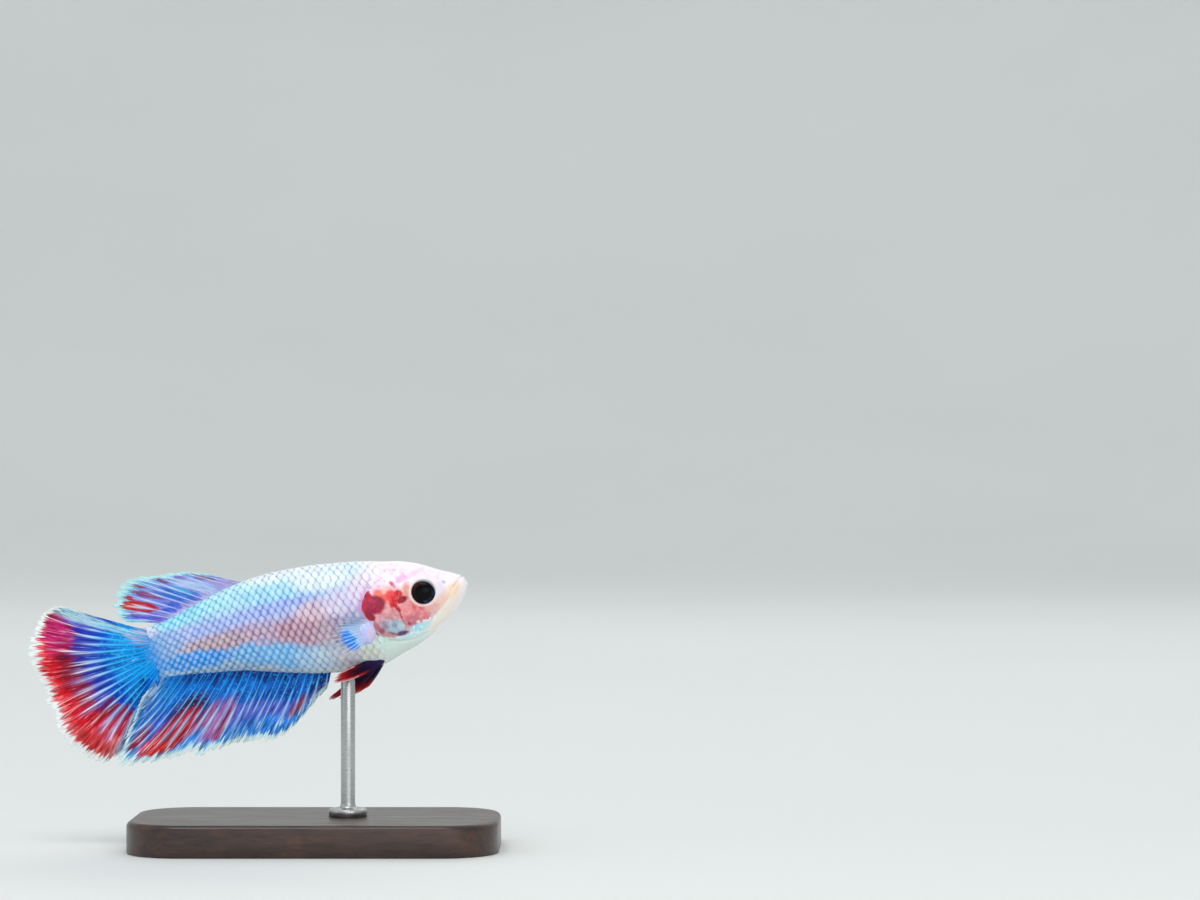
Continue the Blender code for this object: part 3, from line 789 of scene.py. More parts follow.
# %% Lines of the head
GILL_EDGE = drawn(
    ((29.9, 2.6), (28.6, 1.85), (27.65, 0.3), (27.6, -1.2), (28.2, -2.75), (29.0, -3.9),
     (30.1, -4.7), (31.6, -5.2), (33.3, -5.15), (35.4, -4.6), (37.0, -3.8)),
)  # fmt: skip
CHEEK_GROOVE = drawn(((31.3, 1.5), (31.45, 0.2), (31.75, -1.4), (32.15, -2.8), (32.4, -3.9)))
MOUTH = drawn(((41.3, 1.5), (40.45, 1.02), (39.9, 0.6), (39.4, 0.16), (38.95, -0.25)))
JAW_CREASE = drawn(((38.95, -0.25), (38.2, -1.35), (37.2, -2.35), (36.0, -3.2), (34.6, -3.9)))
EYE_PLACE = (35.46, 2.1, 0.22)
NOSTRIL = (37.85, 0.8)
GILL_STEP, GILL_RISE, GILL_FADE = 0.16, 0.16, 1.3  # millimetres, as all here
# how high or deep a fold is, and how wide
GILL_PIT, CHEEK_RIDGE, CHEEK_PIT = (0.17, 0.26), (0.05, 0.18), (0.1, 0.1)
LIP, CLEFT, CREASE_PIT = (0.06, 0.17), (0.17, 0.09), (0.05, 0.12)
NOSTRIL_RIM, NOSTRIL_PIT = (0.05, 0.1), (0.14, 0.17)


def fold(far, at, size):
    """A bell of the distance from a line, of a height and width."""
    return size[0] * bump(far, at, size[1])


def relief(x, z):
    """How far the skin stands out, in mm, at a point of the side view: the gill cover's step,
    which fades away forwards, and folds of the distances from the lines, faded at their ends."""
    gill, _ = off_line(x, z, GILL_EDGE)
    rise = GILL_RISE * smooth(gill, 0.0, GILL_STEP) * np.exp(-np.clip(gill, 0, None) / GILL_FADE)
    rise -= np.where(gill < 0, fold(gill, 0.0, GILL_PIT), 0.0)
    groove, along = off_line(x, z, CHEEK_GROOVE)
    ends = smooth(along, 0.0, 0.25) * (1 - smooth(along, 0.8, 1.0))
    rise += (fold(groove, -0.22, CHEEK_RIDGE) - fold(groove, 0.0, CHEEK_PIT)) * ends
    mouth, along = off_line(x, z, MOUTH)
    fade = 1 - smooth(along, 0.82, 1.0)
    rise += fade * (fold(np.abs(mouth), 0.33, LIP) - fold(mouth, 0.0, CLEFT))
    crease, along = off_line(x, z, JAW_CREASE)
    rise -= fold(crease, 0.0, CREASE_PIT) * (1 - smooth(along, 0.7, 1.0))
    hole = np.hypot(x - NOSTRIL[0], z - NOSTRIL[1])
    rise += fold(hole, 0.3, NOSTRIL_RIM) - fold(hole, 0.0, NOSTRIL_PIT)
    return rise


print("the gill cover stands out by", relief(np.array([28.2]), np.array([-0.5])).round(2), "mm")

# %% [markdown]
# ## Rings of skin
# One skin covers head, jaw, gill covers, trunk and tail stalk, so no seam shows. It is a tube of
# rings along the body with a pole at each end. The rings are closer together on the head, where
# the folds are, which keeps the mesh light elsewhere.

# %% The skin's rings
SKIN_RINGS, SKIN_SIDES = 404, 228
RING_DENSITY = ((0, 24, 27, 37, 41), (1.0, 1.0, 2.2, 2.6, 3.4))
density = np.interp(sections[:, 0], *RING_DENSITY)
path = np.linalg.norm(np.diff(sections, axis=0), axis=1) * (density[1:] + density[:-1]) / 2
path = np.concatenate([[0.0], np.cumsum(path)])
rows = np.interp(np.linspace(path[-1], 0.0, SKIN_RINGS), path, row_numbers)
turns = np.arange(SKIN_SIDES) / SKIN_SIDES * 2
part = np.where(turns <= 1, turns, 2 - turns)
ring_angle = table_angle(rows[:, None] + 0 * part[None, :], part[None, :] + 0 * rows[:, None])
skin = section_point(section_at(rows)[:, None], ring_angle)
skin[..., 1] *= np.where(turns <= 1, -1.0, 1.0)
outward = normals_of(skin, ring=True)
if np.sum(outward[..., 1] * skin[..., 1]) < 0:
    outward = -outward
print("rings", np.round(skin[0, 0, 0] - skin[1, 0, 0], 3), "mm apart at the snout")

# %% [markdown]
# ## Folds and eye sockets
# The rings are moved along their normals by the relief. Round the eye the skin is brought out to
# one level, so that it meets the eyeball evenly, with a soft rim. Inside the rim it sinks, which
# makes the socket that the eye sits in.

# %% Folds and sockets
HEAD_FROM = 24  # no folds behind this
RIM_LEVEL, RIM_INNER, RIM_OUTER = 2.66, 1.66, 2.6
SOCKET_DEPTH, SOCKET_EDGE = 0.95, (1.2, 1.56)
RIM_HEIGHT, RIM_AT, RIM_WIDTH = 0.05, 1.68, 0.1
body_x, body_z = skin[..., 0], skin[..., 2]
lift = np.where(body_x > HEAD_FROM, relief(body_x, body_z), 0.0) - skin_depth(body_x)
skin = skin + outward * lift[..., None]
from_eye = np.hypot(skin[..., 0] - EYE_PLACE[0], skin[..., 2] - EYE_PLACE[2])
near_eye = (1 - smooth(from_eye, RIM_INNER, RIM_OUTER)) * (np.abs(body_z - 0.2) < 3)
level = np.abs(skin[..., 1])
level += (RIM_LEVEL - level) * near_eye
raised_rim = RIM_HEIGHT * bump(from_eye, RIM_AT, RIM_WIDTH)
level += raised_rim - SOCKET_DEPTH * (1 - smooth(from_eye, *SOCKET_EDGE))
skin[..., 1] = np.where(from_eye < RIM_OUTER, np.sign(skin[..., 1]) * level, skin[..., 1])
print("skin from", skin.min((0, 1)).round(2), "to", skin.max((0, 1)).round(2))

# %% [markdown]
# ## Unwrapping the skin
# A tube opens flat along one cut. It is made along the ridge of the back: u runs from the tail to
# the snout and v once round. Faces beside the cut are given v = 1 there and not 0, or they would
# be stretched back over the whole map.

# %% The skin's unwrap
MAP_EDGE = 0.002  # kept free round the map


def skin_unwrap():
    """u = 1 - ring / rings and v = side / sides at each face's corners, then the two ends' fans."""
    i, j = np.meshgrid(np.arange(SKIN_RINGS - 1), np.arange(SKIN_SIDES), indexing="ij")
    u = 1 - np.stack([i, i, i + 1, i + 1], -1) / SKIN_RINGS
    v = np.stack([j, j + 1, j + 1, j], -1) / SKIN_SIDES
    spots = [np.stack([u, v], -1).reshape(-1, 2)]
    here, one_ring = np.arange(SKIN_SIDES), 1 / SKIN_RINGS
    for pole_u, ring_u, corners in ((1.0, 1 - one_ring, (1, 0, 0.5)), (0.0, one_ring, (0, 1, 0.5))):
        fan_v = (here[:, None] + corners) / SKIN_SIDES
        fan_u = (ring_u, ring_u, pole_u) + 0 * fan_v
        spots.append(np.stack([fan_u, fan_v], -1).reshape(-1, 2))
    return np.clip(np.concatenate(spots), MAP_EDGE, 1 - MAP_EDGE)


skin_map = skin_unwrap()
print("corners on the map", len(skin_map))

# %% [markdown]
# ## Wet skin
# The skin is smooth and wet. It takes its colour from the markings, with a fine mottle, and has a
# thin clear coat for the wet shine. A very fine bump breaks the highlight as real skin does. A
# pale rim of bare skin runs round the eye.


# %% Skin finish
def beside_eye(paint, place):
    """The place less the eye's middle, flattened to the side view."""
    away = paint.vector("SUBTRACT", place, (EYE_PLACE[0], 0.0, EYE_PLACE[2]))
    return paint.vector("MULTIPLY", away, (1.0, 0.0, 1.0))


paint = Finish("wet skin", specular=0.24, roughness=0.36, coat=0.17, coat_roughness=0.12)
place = place_on_fish(paint)
marks = markings.place_in(paint, place)
marks = head_marks.place_in(paint, place, marks[0])
mottle = paint.noise(place, 2.6, 4.0, 0.65)
toned = paint.over(paint.step(mottle, 0.35, 0.7, 0.0, 0.2), marks[0], WHITE, "SOFT_LIGHT")
from_eye_here = paint.length(beside_eye(paint, place))
toned = paint.over(paint.step(from_eye_here, 1.95, 1.66, 0.0, 0.75), toned, colour("#fff1ee"))
paint.feed("Base Color", toned)
paint.lift(paint.noise(place, 9.0, 3.0, 0.6), 0.12)
wet_skin = paint
print("wet skin", len(paint.tree.nodes), "nodes")

# %% [markdown]
# ## The skin as one piece
# The rings are closed with a pole at the snout and one at the tail root, so the skin holds no
# hole that a separate cap could open. It stands for the six solids of the flesh.

# %% Make the skin
skin_points, skin_faces = with_poles(skin, skin[0].mean(0), skin[-1].mean(0))
fish_skin = piece("fish_skin", skin_points, skin_faces, wet_skin, "pink_white_head", skin_map)
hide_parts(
    "head", "lower_jaw", "gill_cover_right", "gill_cover_left", "trunk", "tail_stalk"
)

# %% [markdown]
# ## Where the scales are rooted
# Betta scales are thin rounded plates that overlap like roof tiles, their free edges towards the
# tail. Rows run along the body a set arc length apart, and every other row is shifted half a
# scale. They stop at the gill cover and fade out over the nape. A bump map could only hint at
# them, so each one is a real plate, and here only their places are worked out.

# %% Where the scales are rooted
SCALE_PITCH = 0.95  # along a row


def row_step(x):
    """Arc length between rows: scales are smaller towards the tail."""
    return np.interp(x, (0, 4, 12, 20, 28), (0.50, 0.54, 0.68, 0.81, 0.85))


def scale_roots():
    """x and arc of every scale: rows of arc = k * step, columns a pitch apart."""
    roots = []
    for k in range(-1, 21):
        x = np.arange(-0.15, 31.5, SCALE_PITCH) + (k % 2) * SCALE_PITCH / 2
        arc = k * row_step(x)
        z = body_place(x, np.abs(arc), np.full(x.shape, False))[0][:, 2]
        edge, _ = off_line(x, z, GILL_EDGE)
        free = (edge < -0.1) | (z > 2.6)
        nape = x < 31.0 - 0.25 * np.abs(z - 5)
        chest = x < 29.6
        fits = (arc < girth_at(x) + 0.1) & free & np.where(z > 1.5, nape, chest)
        roots.append(np.stack([x[fits], arc[fits]], -1))
    return np.concatenate(roots)


flank_roots = scale_roots()
print(len(flank_roots), "scales on a side")

# %% [markdown]
# ## One scale
# There are over a thousand scales, so each has only a few dozen faces: three rings of a rounded
# almond set upright, with a point in the middle of its top and one below. It is a closed lens,
# given as shares of half its length and half its height.

# %% One scale
SIDES = 16
DISC_RINGS = (0.55, 0.86, 1.0)
LONG_POWER, TALL_POWER = 1.9, 1.25  # of the outline |a|^long + |b|^tall = 1
round_it = np.arange(SIDES) / SIDES * 2 * math.pi
tall = np.sin(round_it)
long = np.sign(np.cos(round_it)) * (1 - np.abs(tall) ** TALL_POWER) ** (1 / LONG_POWER)
outline = np.stack([long, tall], -1)
disc = np.concatenate([[[0.0, 0.0]], *[outline * ring for ring in DISC_RINGS], [[0.0, 0.0]]])
disc_ring = np.concatenate([[0.0], np.repeat(DISC_RINGS, SIDES), [0.0]])
disc_top = np.concatenate([[1.0], np.repeat((1.0, 1.0, 0.0), SIDES), [-1.0]])
inner, middle, rim = 1, 1 + SIDES, 1 + 2 * SIDES  # the first corner of each ring
pairs = [(k, (k + 1) % SIDES) for k in range(SIDES)]
disc_faces = [(0, inner + a, inner + b) for a, b in pairs]
for low, high in ((inner, middle), (middle, rim)):
    disc_faces += [(low + a, high + a, high + b, low + b) for a, b in pairs]
disc_faces += [(len(disc) - 1, rim + b, rim + a) for a, b in pairs]
print("a scale has", len(disc), "points and", len(disc_faces), "faces")

# %% [markdown]
# ## All the scales of a side
# The same lens is stretched and laid at every root in one go, on the body's curve through arc
# length. It is sunk in the skin at its root and lifted at its free edge, and each one differs a
# little in size, place and tilt, because no two real scales match. On the OFBake map each scale
# is a small patch at its root's place on an unwrap of the flank.

# %% Scales in one mesh
MAP_LENGTH, MAP_GIRTH = 36, 19  # what the bake map holds, in millimetres
PATCH = 0.021  # a scale's width on the map
LONG_SHARE, TALL_SHARE = 0.99, 1.16  # half a scale, as shares of its pitch and its row step
ROOT_LIFT, TILT, DOME, BELOW = -0.06, 0.10, 0.04, 0.03  # millimetres off the skin
SIZE_VARIES, ALONG_VARIES, ARC_VARIES, LIFT_VARIES = 0.04, 0.03, 0.025, 0.006
scatter = np.random.default_rng(7)


def scale_side(name, roots, left, finish):
    """All the scales of one side: every root's disc is stretched to the scale's half length and
    half height, laid on the body by arc length, and lifted by root lift + tilt (along + 1) / 2,
    plus a dome of 1 - ring^2 times its height. The chest's scales are smaller and flatter."""
    count, one_each = len(roots), (len(roots), 1)
    size = scatter.normal(1.0, SIZE_VARIES, one_each)
    x = roots[:, 0, None] + scatter.normal(0, ALONG_VARIES, one_each)
    arc = roots[:, 1, None] + scatter.normal(0, ARC_VARIES, one_each)
    chest = smooth(x, 22, 27) * smooth(arc, 9.5, 11.5)
    nape = smooth(x, 27.5, 31)
    half_length = SCALE_PITCH * LONG_SHARE * size * (1 - 0.15 * chest)
    half_height = row_step(x) * TALL_SHARE * size * (1 - 0.1 * chest)
    along = np.clip(x - disc[:, 0] * half_length, -0.35, 40.5)
    onto = arc + disc[:, 1] * half_height
    point, normal = body_place(np.clip(along, 0.02, None), onto, np.full(onto.shape, left))
    point[..., 0] += np.clip(along, None, 0.02) - 0.02
    tilt = TILT * (1 - 0.1 * nape - 0.2 * chest)
    varied = scatter.normal(0, LIFT_VARIES, one_each)
    lift = ROOT_LIFT + tilt * (disc[:, 0] + 1) / 2 + varied - 0.01 * nape
    lift = lift + np.where(disc_top > 0, DOME * (1 - disc_ring**2), 0.0) - BELOW * (disc_top < 0)
    point += normal * (lift - skin_depth(along))[..., None]
    starts = range(0, count * len(disc), len(disc))
    faces = [tuple(corner + start for corner in face) for start in starts for face in disc_faces]
    root_place, _ = body_place(roots[:, 0], roots[:, 1], np.full(count, left))
    spot = np.concatenate([(x + 2) / MAP_LENGTH, (arc + 1.5) / MAP_GIRTH], -1)[:, None]
    spread = disc * PATCH / 2 * (-1, 1) * np.where(disc_top < 0, 0.2, 1.0)[:, None]
    values = {
        "scale_root": np.repeat(root_place, len(disc), 0),
        "scale_along": np.tile(disc[:, 0], count),
        "scale_across": np.tile(disc[:, 1], count),
        "scale_tone": np.repeat(scatter.uniform(0, 1, count), len(disc)),
    }
    points, bake_map = point.reshape(-1, 3), (spot + spread).reshape(-1, 2)
    return piece(name, points, facing(faces, left), finish, "silver_blue_scales", bake_map, values)


print("room for", round(1 / PATCH) ** 2, "patches on the map")

# %% [markdown]
# ## Pearly scales
# Each scale takes the marking's colour half way from its root, so it is nearly one plate of
# colour. What shows of it is an upright oval with the dark net of pigment all round, and white
# painted into the oval's middle as a highlight. So the oval is painted on the scale's own two
# coordinates, and the net needs no lines of its own. A thin clear coat gives the shine.

# %% Scale finish
OVAL_MIDDLE, OVAL_HALF = (0.46, 0.0, 0.0), (0.47, 0.80, 1.0)  # along and across the scale
paint = Finish("pearly scale", specular=0.25, roughness=0.34, coat=0.18, coat_roughness=0.15)
root = paint.read("scale_root", "Vector")
place = place_on_fish(paint)
between = paint.grown(paint.vector("ADD", root, place), 0.5)
marks = markings.place_in(paint, between)
along, across, tone = (paint.read(f"scale_{label}") for label in ("along", "across", "tone"))
oval = paint.put("CombineXYZ", {0: along, 1: across}).outputs[0]
sockets = {"Vector": oval, "Location": OVAL_MIDDLE, "Scale": OVAL_HALF}
oval = paint.put("Mapping", sockets, vector_type="TEXTURE").outputs[0]
wobble = paint.noise(place, 1.6, 2.0, 0.6)
from_oval = paint.add(paint.length(oval), paint.times(paint.less(wobble, 0.5), 0.35))
root_x = paint.parts(root)[0]
# painted highlight: white laid into the middle of each scale's oval, weaker towards the tail
pale = paint.step(from_oval, 0.85, 0.1, 0.0, 0.38)
pale = paint.times(pale, paint.step(root_x, 0.5, 4.5, 0.2, 1.0))
body = paint.over(pale, marks[0], WHITE)
tint = paint.times(paint.step(tone, 0.0, 1.0, 0.0, 0.14), paint.step(root_x, 26.0, 30.0, 1.0, 0.1))
body = paint.over(tint, body, colour("#6f94e0"), "MULTIPLY")
fleck = paint.noise(place, 3.2, 3.0, 0.7)
body = paint.over(paint.step(fleck, 0.5, 0.75, 0.0, 0.3), body, WHITE, "SOFT_LIGHT")
net = paint.times(paint.step(from_oval, 0.72, 1.1, 0.0, 0.72), paint.step(along, -0.5, -0.1))
net = paint.times(net, paint.step(root_x, 27.5, 31.0, 1.0, 0.25))
chest = soft_patch(paint, root, 27.6, -6.0, 3.4, 2.3, 0, 0.8, 0.75)
net = paint.times(net, paint.less(1.0, chest))
paint.feed("Base Color", paint.over(net, body, marks[1]))
sockets = {"Vector": place, "Scale": 2.6, "Distortion": 3.0}
ridges = paint.put("TexWave", sockets, bands_direction="X").outputs[1]
paint.lift(ridges, 0.1)
pearly_scale = paint
print("pearly scale", len(paint.tree.nodes), "nodes")

# %% [markdown]
# ## Scales on both sides
# Each side's scales are one piece: a thousand objects would be slow to handle and to export. The
# rows at the ridge of the back belong to the right side alone, as two of them would clash.

# %% Make both sides
for label, mirror in BOTH_SIDES:
    roots = flank_roots if mirror else flank_roots[flank_roots[:, 1] > 0.01]
    scale_side(f"scales_{label}", roots, not mirror, pearly_scale)

# %% [markdown]
# ## Fins
# A fin is a web of skin held out by bony rays. Cloth simulation could drape it, but the rays
# decide its shape, so it is drawn as they run. The surface is a fan: for each t along the base
# and r along a ray, a bowed line runs from the base's curve to the margin's curve. The same fan
# made the solids, so the fins are in place.


# %% The fan
def fan(t, r, base, tips, bow, lean, wave, root_y=0.0, splay=0.0, mirror=False):
    """Points (1-r)^2 root + 2r(1-r) middle + r^2 tip, where middle is half way from root to tip
    and moved square to that line by the bow. Off the middle plane it lies at root_y, splays with
    r, leans with r^2, and waves with r sin(2 pi (count t + phase))."""
    root, tip = through(with_lengths(base), t), through(tips, t)
    chord = tip - root
    square = np.stack([-chord[..., 1], chord[..., 0]], -1)
    middle = (root + tip) / 2 + square * (bow[0] + (bow[1] - bow[0]) * t)[..., None]
    share = r[..., None]
    side_view = (1 - share) ** 2 * root + 2 * share * (1 - share) * middle + share**2 * tip
    y = root_y + splay * r + (lean[0] + (lean[1] - lean[0]) * t) * r**2
    y = y + wave[0] * r * np.sin(2 * math.pi * (wave[1] * t + wave[2]))
    return np.stack([side_view[..., 0], -y if mirror else y, side_view[..., 1]], -1)


upright = dict(base=((0, 0), (1, 0)), tips=((0, 0, 1), (1, 1, 1)), bow=(0, 0), lean=(0, 0))
middle = fan(np.array([0.5]), np.array([0.5]), wave=(0, 0, 0), **upright)[0]
print("the middle of a fan over a square", middle.round(2))

# %% [markdown]
# ## Rays
# Each ray forks in two, and again in two, on its way to the margin. Its branches swell the web
# and are paler than it. Tubes laid on the web would look stuck on, so a ray is a bell in the
# web's thickness, and the same bells, made uneven, are kept for the material to read.


# %% Rays across the web
START_VARIES, FORK_VARIES = 0.1, 0.07
CORE_ENDS, CORE_BRIGHT = (0.62, 0.9), (0.45, 1.0)
BRANCH_BRIGHT, TWIG_BRIGHT = (0.5, 1.0), (0.1, 1.0)
# how often a branch's strokes come and their start, how far it bends and where, least and most
BRANCH_VARIES = (1.2, 0, -0.1, 0), (2.8, 6.3, 0.1, 6.3)


def ray_lines(q, r, count, forks, width, draw):
    """Bells across every ray. A ray starts at its place q along the base and forks in two and
    again in two, the halves drawing apart evenly with r. Gives the ray's relief, the same faded
    on the fainter branches, the core that lies between a ray's first two branches, and where the
    tips reach the margin."""
    gap = 1.0 / count
    raised, shown, cores = np.zeros((3, *r.shape))
    ray_tips = []
    moved = draw.uniform(-START_VARIES, START_VARIES, count) * gap
    for start in (np.arange(count) + 0.5) * gap + moved:
        first, second = forks + draw.uniform(-FORK_VARIES, FORK_VARIES, 2)
        core_end, core_bright = draw.uniform(*CORE_ENDS), draw.uniform(*CORE_BRIGHT)
        between = 0.16 * gap + 0.3 * gap * np.clip(r - first, 0, None) + 0.3 * width
        opened = smooth(r, first - 0.1, first + 0.12) * (1 - smooth(r, core_end - 0.22, core_end))
        cores = np.maximum(cores, bump(q, start, between) * opened * core_bright)
        for big in (-0.25, 0.25):
            bright = draw.uniform(*BRANCH_BRIGHT)
            beat, phase, bend, turn = draw.uniform(*BRANCH_VARIES)
            strokes = 0.72 + 0.28 * np.sin(2 * math.pi * beat * r + phase)
            for small in (-0.125, 0.125):
                apart = big * np.clip((r - first) / (1 - first), 0, None)
                apart = apart + small * np.clip((r - second) / (1 - second), 0, None)
                apart = apart + bend * smooth(r, first, 1.0) * np.sin(7 * r + turn)
                bell = bump(q, start + gap * apart, width)
                faint = draw.uniform(*TWIG_BRIGHT)
                kept = 1 - (1 - bright) * smooth(r, first, first + 0.2)
                kept = kept * (1 - (1 - faint) * smooth(r, second, second + 0.15))
                raised = np.maximum(raised, bell)
                shown = np.maximum(shown, bell * kept * strokes)
                ray_tips.append(start + gap * (big + small))
    return raised, shown, cores, np.sort(ray_tips)


q, r = np.meshgrid(np.linspace(0, 1, 101), (0.0, 1.0))
*_, tips = ray_lines(q, r, 3, np.array((0.4, 0.7)), 0.02, np.random.default_rng(0))
print("three rays end in", len(tips), "tips")

# %% [markdown]
# ## The ragged margin
# The ray tips stand out past the web in small teeth, two or four tips to a tooth, with a notch
# between two teeth. Alpha could cut them from a larger sheet, but here they are real outline,
# which stays in the finished mesh.


# %% Teeth
def teeth(q, ray_tips, together, depth, longest, draw):
    """How far the margin reaches at each q. The ray tips stand together in teeth of two or four.
    A tooth reaches past 1 by a random part of `longest`, with a small dip between its tips, and
    the notch between two teeth is `depth` or so short of 1. Straight lines join them."""
    gap = np.diff(ray_tips).mean()
    whole = len(ray_tips) // together
    tooth = np.repeat(1 + longest * draw.uniform(-0.5, 1.0, whole), together)
    height = tooth - depth * draw.uniform(0.0, 0.35, len(ray_tips))
    dip = tooth - depth * draw.uniform(0.2, 0.55, len(ray_tips))
    dip[together - 1 :: together] = 1 - depth * draw.uniform(0.7, 1.25, whole)
    spots = np.concatenate([ray_tips, ray_tips + 0.5 * gap])
    order = spots.argsort()
    return np.interp(q, spots[order], np.concatenate([height, dip])[order])


hem = teeth(np.linspace(0, 1, 200), tips, 2, 0.1, 0.05, np.random.default_rng(0))
print(f"a hem of short teeth reaches {hem.min():.2f} to {hem.max():.2f} of the way")

# %% [markdown]
# ## From a sheet to a closed slab
# A web with no thickness would have no inside, and its edge would vanish seen from the end. A
# Solidify modifier gives one thickness everywhere. A ray is thicker than the web, so both faces
# are made here, each point moved by its own half thickness.


# %% Slab
def slab(grid, half):
    """A closed plate: the grid moved both ways along its normals by half its thickness, with a
    strip joining the two round the border. Faces are turned so that the volume is positive."""
    rows, columns = grid.shape[:2]
    normal = normals_of(grid)
    sides = [(grid + normal * half).reshape(-1, 3), (grid - normal * half).reshape(-1, 3)]
    points = np.concatenate(sides)
    index = np.arange(rows * columns).reshape(rows, columns)
    border = np.concatenate([index[0], index[1:, -1], index[-1, -2::-1], index[-2:0:-1, 0]])
    following, other = np.roll(border, -1), rows * columns
    strip = np.stack([following, border, border + other, following + other], -1)
    front = quads(rows, columns)
    faces = np.concatenate([front, front[:, ::-1] + other, strip])
    a, b, c, d = (points[faces[:, k]] for k in range(4))
    volume = np.sum(np.cross(b - a, c - a) * a) + np.sum(np.cross(c - a, d - a) * a)
    return points, faces if volume > 0 else faces[:, ::-1]


flat = np.stack([*np.meshgrid((0.0, 1.0), (0.0, 1.0)), np.zeros((2, 2))], -1)
print("a slab of one square has", len(slab(flat, 0.1)[1]), "faces")

# %% [markdown]
# ## A whole fin
# Fan, rays and teeth come together in one closed slab: thick at the root, thin in the web, with
# the rays standing proud and the margin thinned to an edge. On the OFBake map its two sides lie
# next to each other.

# %% One fin
FIN_VALUES = ("across", "along", "edge", "ray", "core")


def fin(name, finish, slot_name, seed, shape, rays, columns, steps, web, margin, pinch=0.0):
    """One fin: a slab over its fan, each r stretched so that 1 comes to the teeth. Half its
    thickness is the web's, more at the root, plus the rays' bells times their height, and it thins
    to the edge. The pinch draws the rays together at the root."""
    draw = np.random.default_rng(seed)
    t, r = np.meshgrid(np.linspace(0, 1, columns), np.linspace(0, 1, steps), indexing="xy")
    q = 0.5 + (t - 0.5) / (1 - pinch * (1 - r))
    count, forks, ray_width, ray_height = rays
    span = np.linalg.norm(np.diff(fan(t, r, **shape), axis=1), axis=-1).sum(1)[:, None]
    width = np.interp(r, (0.0, 0.15, 0.5, 0.75, 1.0), ray_width)
    width = np.maximum(width / span, 1.1 / columns)
    raised, shown, cores, ray_tips = ray_lines(q, r, count, np.array(forks), width, draw)
    edge = teeth(q[-1], ray_tips, *margin, draw)
    reach = r * (1 + (edge - 1) * smooth(r, 0.3, 1.0))
    grid = fan(t, reach, **shape)
    root_half, web_half, edge_half = web
    half = web_half + (root_half - web_half) * (1 - smooth(r, 0.0, 0.22))
    half = half + raised * (ray_height * (1 - 0.75 * r))
    half = edge_half + (half - edge_half) * (1 - smooth(r, 0.9, 1.0) * 0.85)
    grid[..., 1] += 0.05 * reach * np.sin(2 * math.pi * count * q)
    points, faces = slab(grid, half[..., None])
    low, high = grid.reshape(-1, 3).min(0), grid.reshape(-1, 3).max(0)
    flat_uv = (grid[..., ::2].reshape(-1, 2) - low[::2]) / (high - low)[::2] * (0.47, 0.94)
    both = np.concatenate([flat_uv + 0.02, flat_uv + (0.51, 0.02)])
    kept = zip(FIN_VALUES, (q, reach, r, shown, cores), strict=True)
    values = {f"fin_{label}": np.tile(value.ravel(), 2) for label, value in kept}
    made = piece(f"{name}_web", points, faces, finish, slot_name, both, values)
    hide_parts(name)


print("the fins' finish reads", *FIN_VALUES)

# %% [markdown]
# ## How the fins are coloured
# All the fins share one group. It takes a fin's web, ray and margin colours and lays the rays over
# the web and the pale toothed margin over both, all streaked along the rays. It also gives a fine
# relief of ray joints and streaks, and the rays' own mask.

# %% Group: fin web
FIN_INPUTS = (
    ("Web", COLOUR), ("Ray", COLOUR), ("Margin", COLOUR), ("Margin width", NUMBER, 0.06),
    ("Ray strength", NUMBER, 0.9), ("Speckle", NUMBER, 0.4), ("Speckle colour", COLOUR),
    ("Core", COLOUR), ("Core strength", NUMBER, 0.8), ("Shade", NUMBER, 0.7),
)  # fmt: skip
FIN_OUTPUTS = (("Colour", COLOUR), ("Relief", NUMBER), ("Ray mask", NUMBER))
DEEP_BLUE = colour("#08184f")
fin_web = Group("fin web", FIN_INPUTS, FIN_OUTPUTS)
web, ray, margin, margin_width, strength, speckle, *others = fin_web.given
speckle_colour, core, core_strength, shade, _ = others
across, along, edge, ray_bell, core_mask = (fin_web.read(f"fin_{label}") for label in FIN_VALUES)
in_fin = fin_web.put("CombineXYZ", {0: across, 2: along}).outputs[0]
streak = fin_web.noise(fin_web.stretched(in_fin, (80, 1.0, 5)), 1.0, 3.0, 0.6)
fine_streak = fin_web.noise(fin_web.stretched(in_fin, (190, 1.0, 9)), 1.0, 2.0, 0.6)
dark_streak = fin_web.times(fin_web.step(streak, 0.56, 0.34), shade)
painted = fin_web.over(dark_streak, web, DEEP_BLUE, "MULTIPLY")
painted = fin_web.over(fin_web.step(streak, 0.55, 0.72, 0.0, 0.5), painted, ray)
core_part = fin_web.times(core_mask, fin_web.step(fine_streak, 0.3, 0.52, 0.35, 1.0))
painted = fin_web.over(fin_web.times(core_part, core_strength), painted, core)
dots = fin_web.noise(place_on_fish(fin_web), 2.9, 2.0, 0.5)
speck = fin_web.times(fin_web.step(dots, 0.56, 0.64), fin_web.step(along, 0.5, 0.25))
painted = fin_web.over(fin_web.times(speck, speckle), painted, speckle_colour)
ray_part = fin_web.times(fin_web.step(ray_bell, 0.15, 0.75), strength)
ray_part = fin_web.times(ray_part, fin_web.step(fine_streak, 0.25, 0.5, 0.6, 1.0))
painted = fin_web.over(ray_part, painted, ray)
ragged = fin_web.times(fin_web.less(streak, 0.5), 0.2)
ragged = fin_web.add(edge, fin_web.add(ragged, fin_web.times(ray_part, 0.04)))
start = fin_web.less(1.0, margin_width)
margin_start = fin_web.less(start, 0.03)
pale_edge = fin_web.step(ragged, margin_start, fin_web.add(start, 0.02))
fin_web.give(0, fin_web.over(pale_edge, painted, margin))
sockets = {"Vector": in_fin, "Scale": 28.0, "Distortion": 0.6}
joints = fin_web.put("TexWave", sockets, bands_direction="Z").outputs[1]
ridge = fin_web.times(joints, fin_web.times(ray_bell, 0.5))
fin_web.give(1, fin_web.add(ridge, fine_streak))
fin_web.give(2, ray_part)
print("fin web group", len(fin_web.tree.nodes), "nodes")

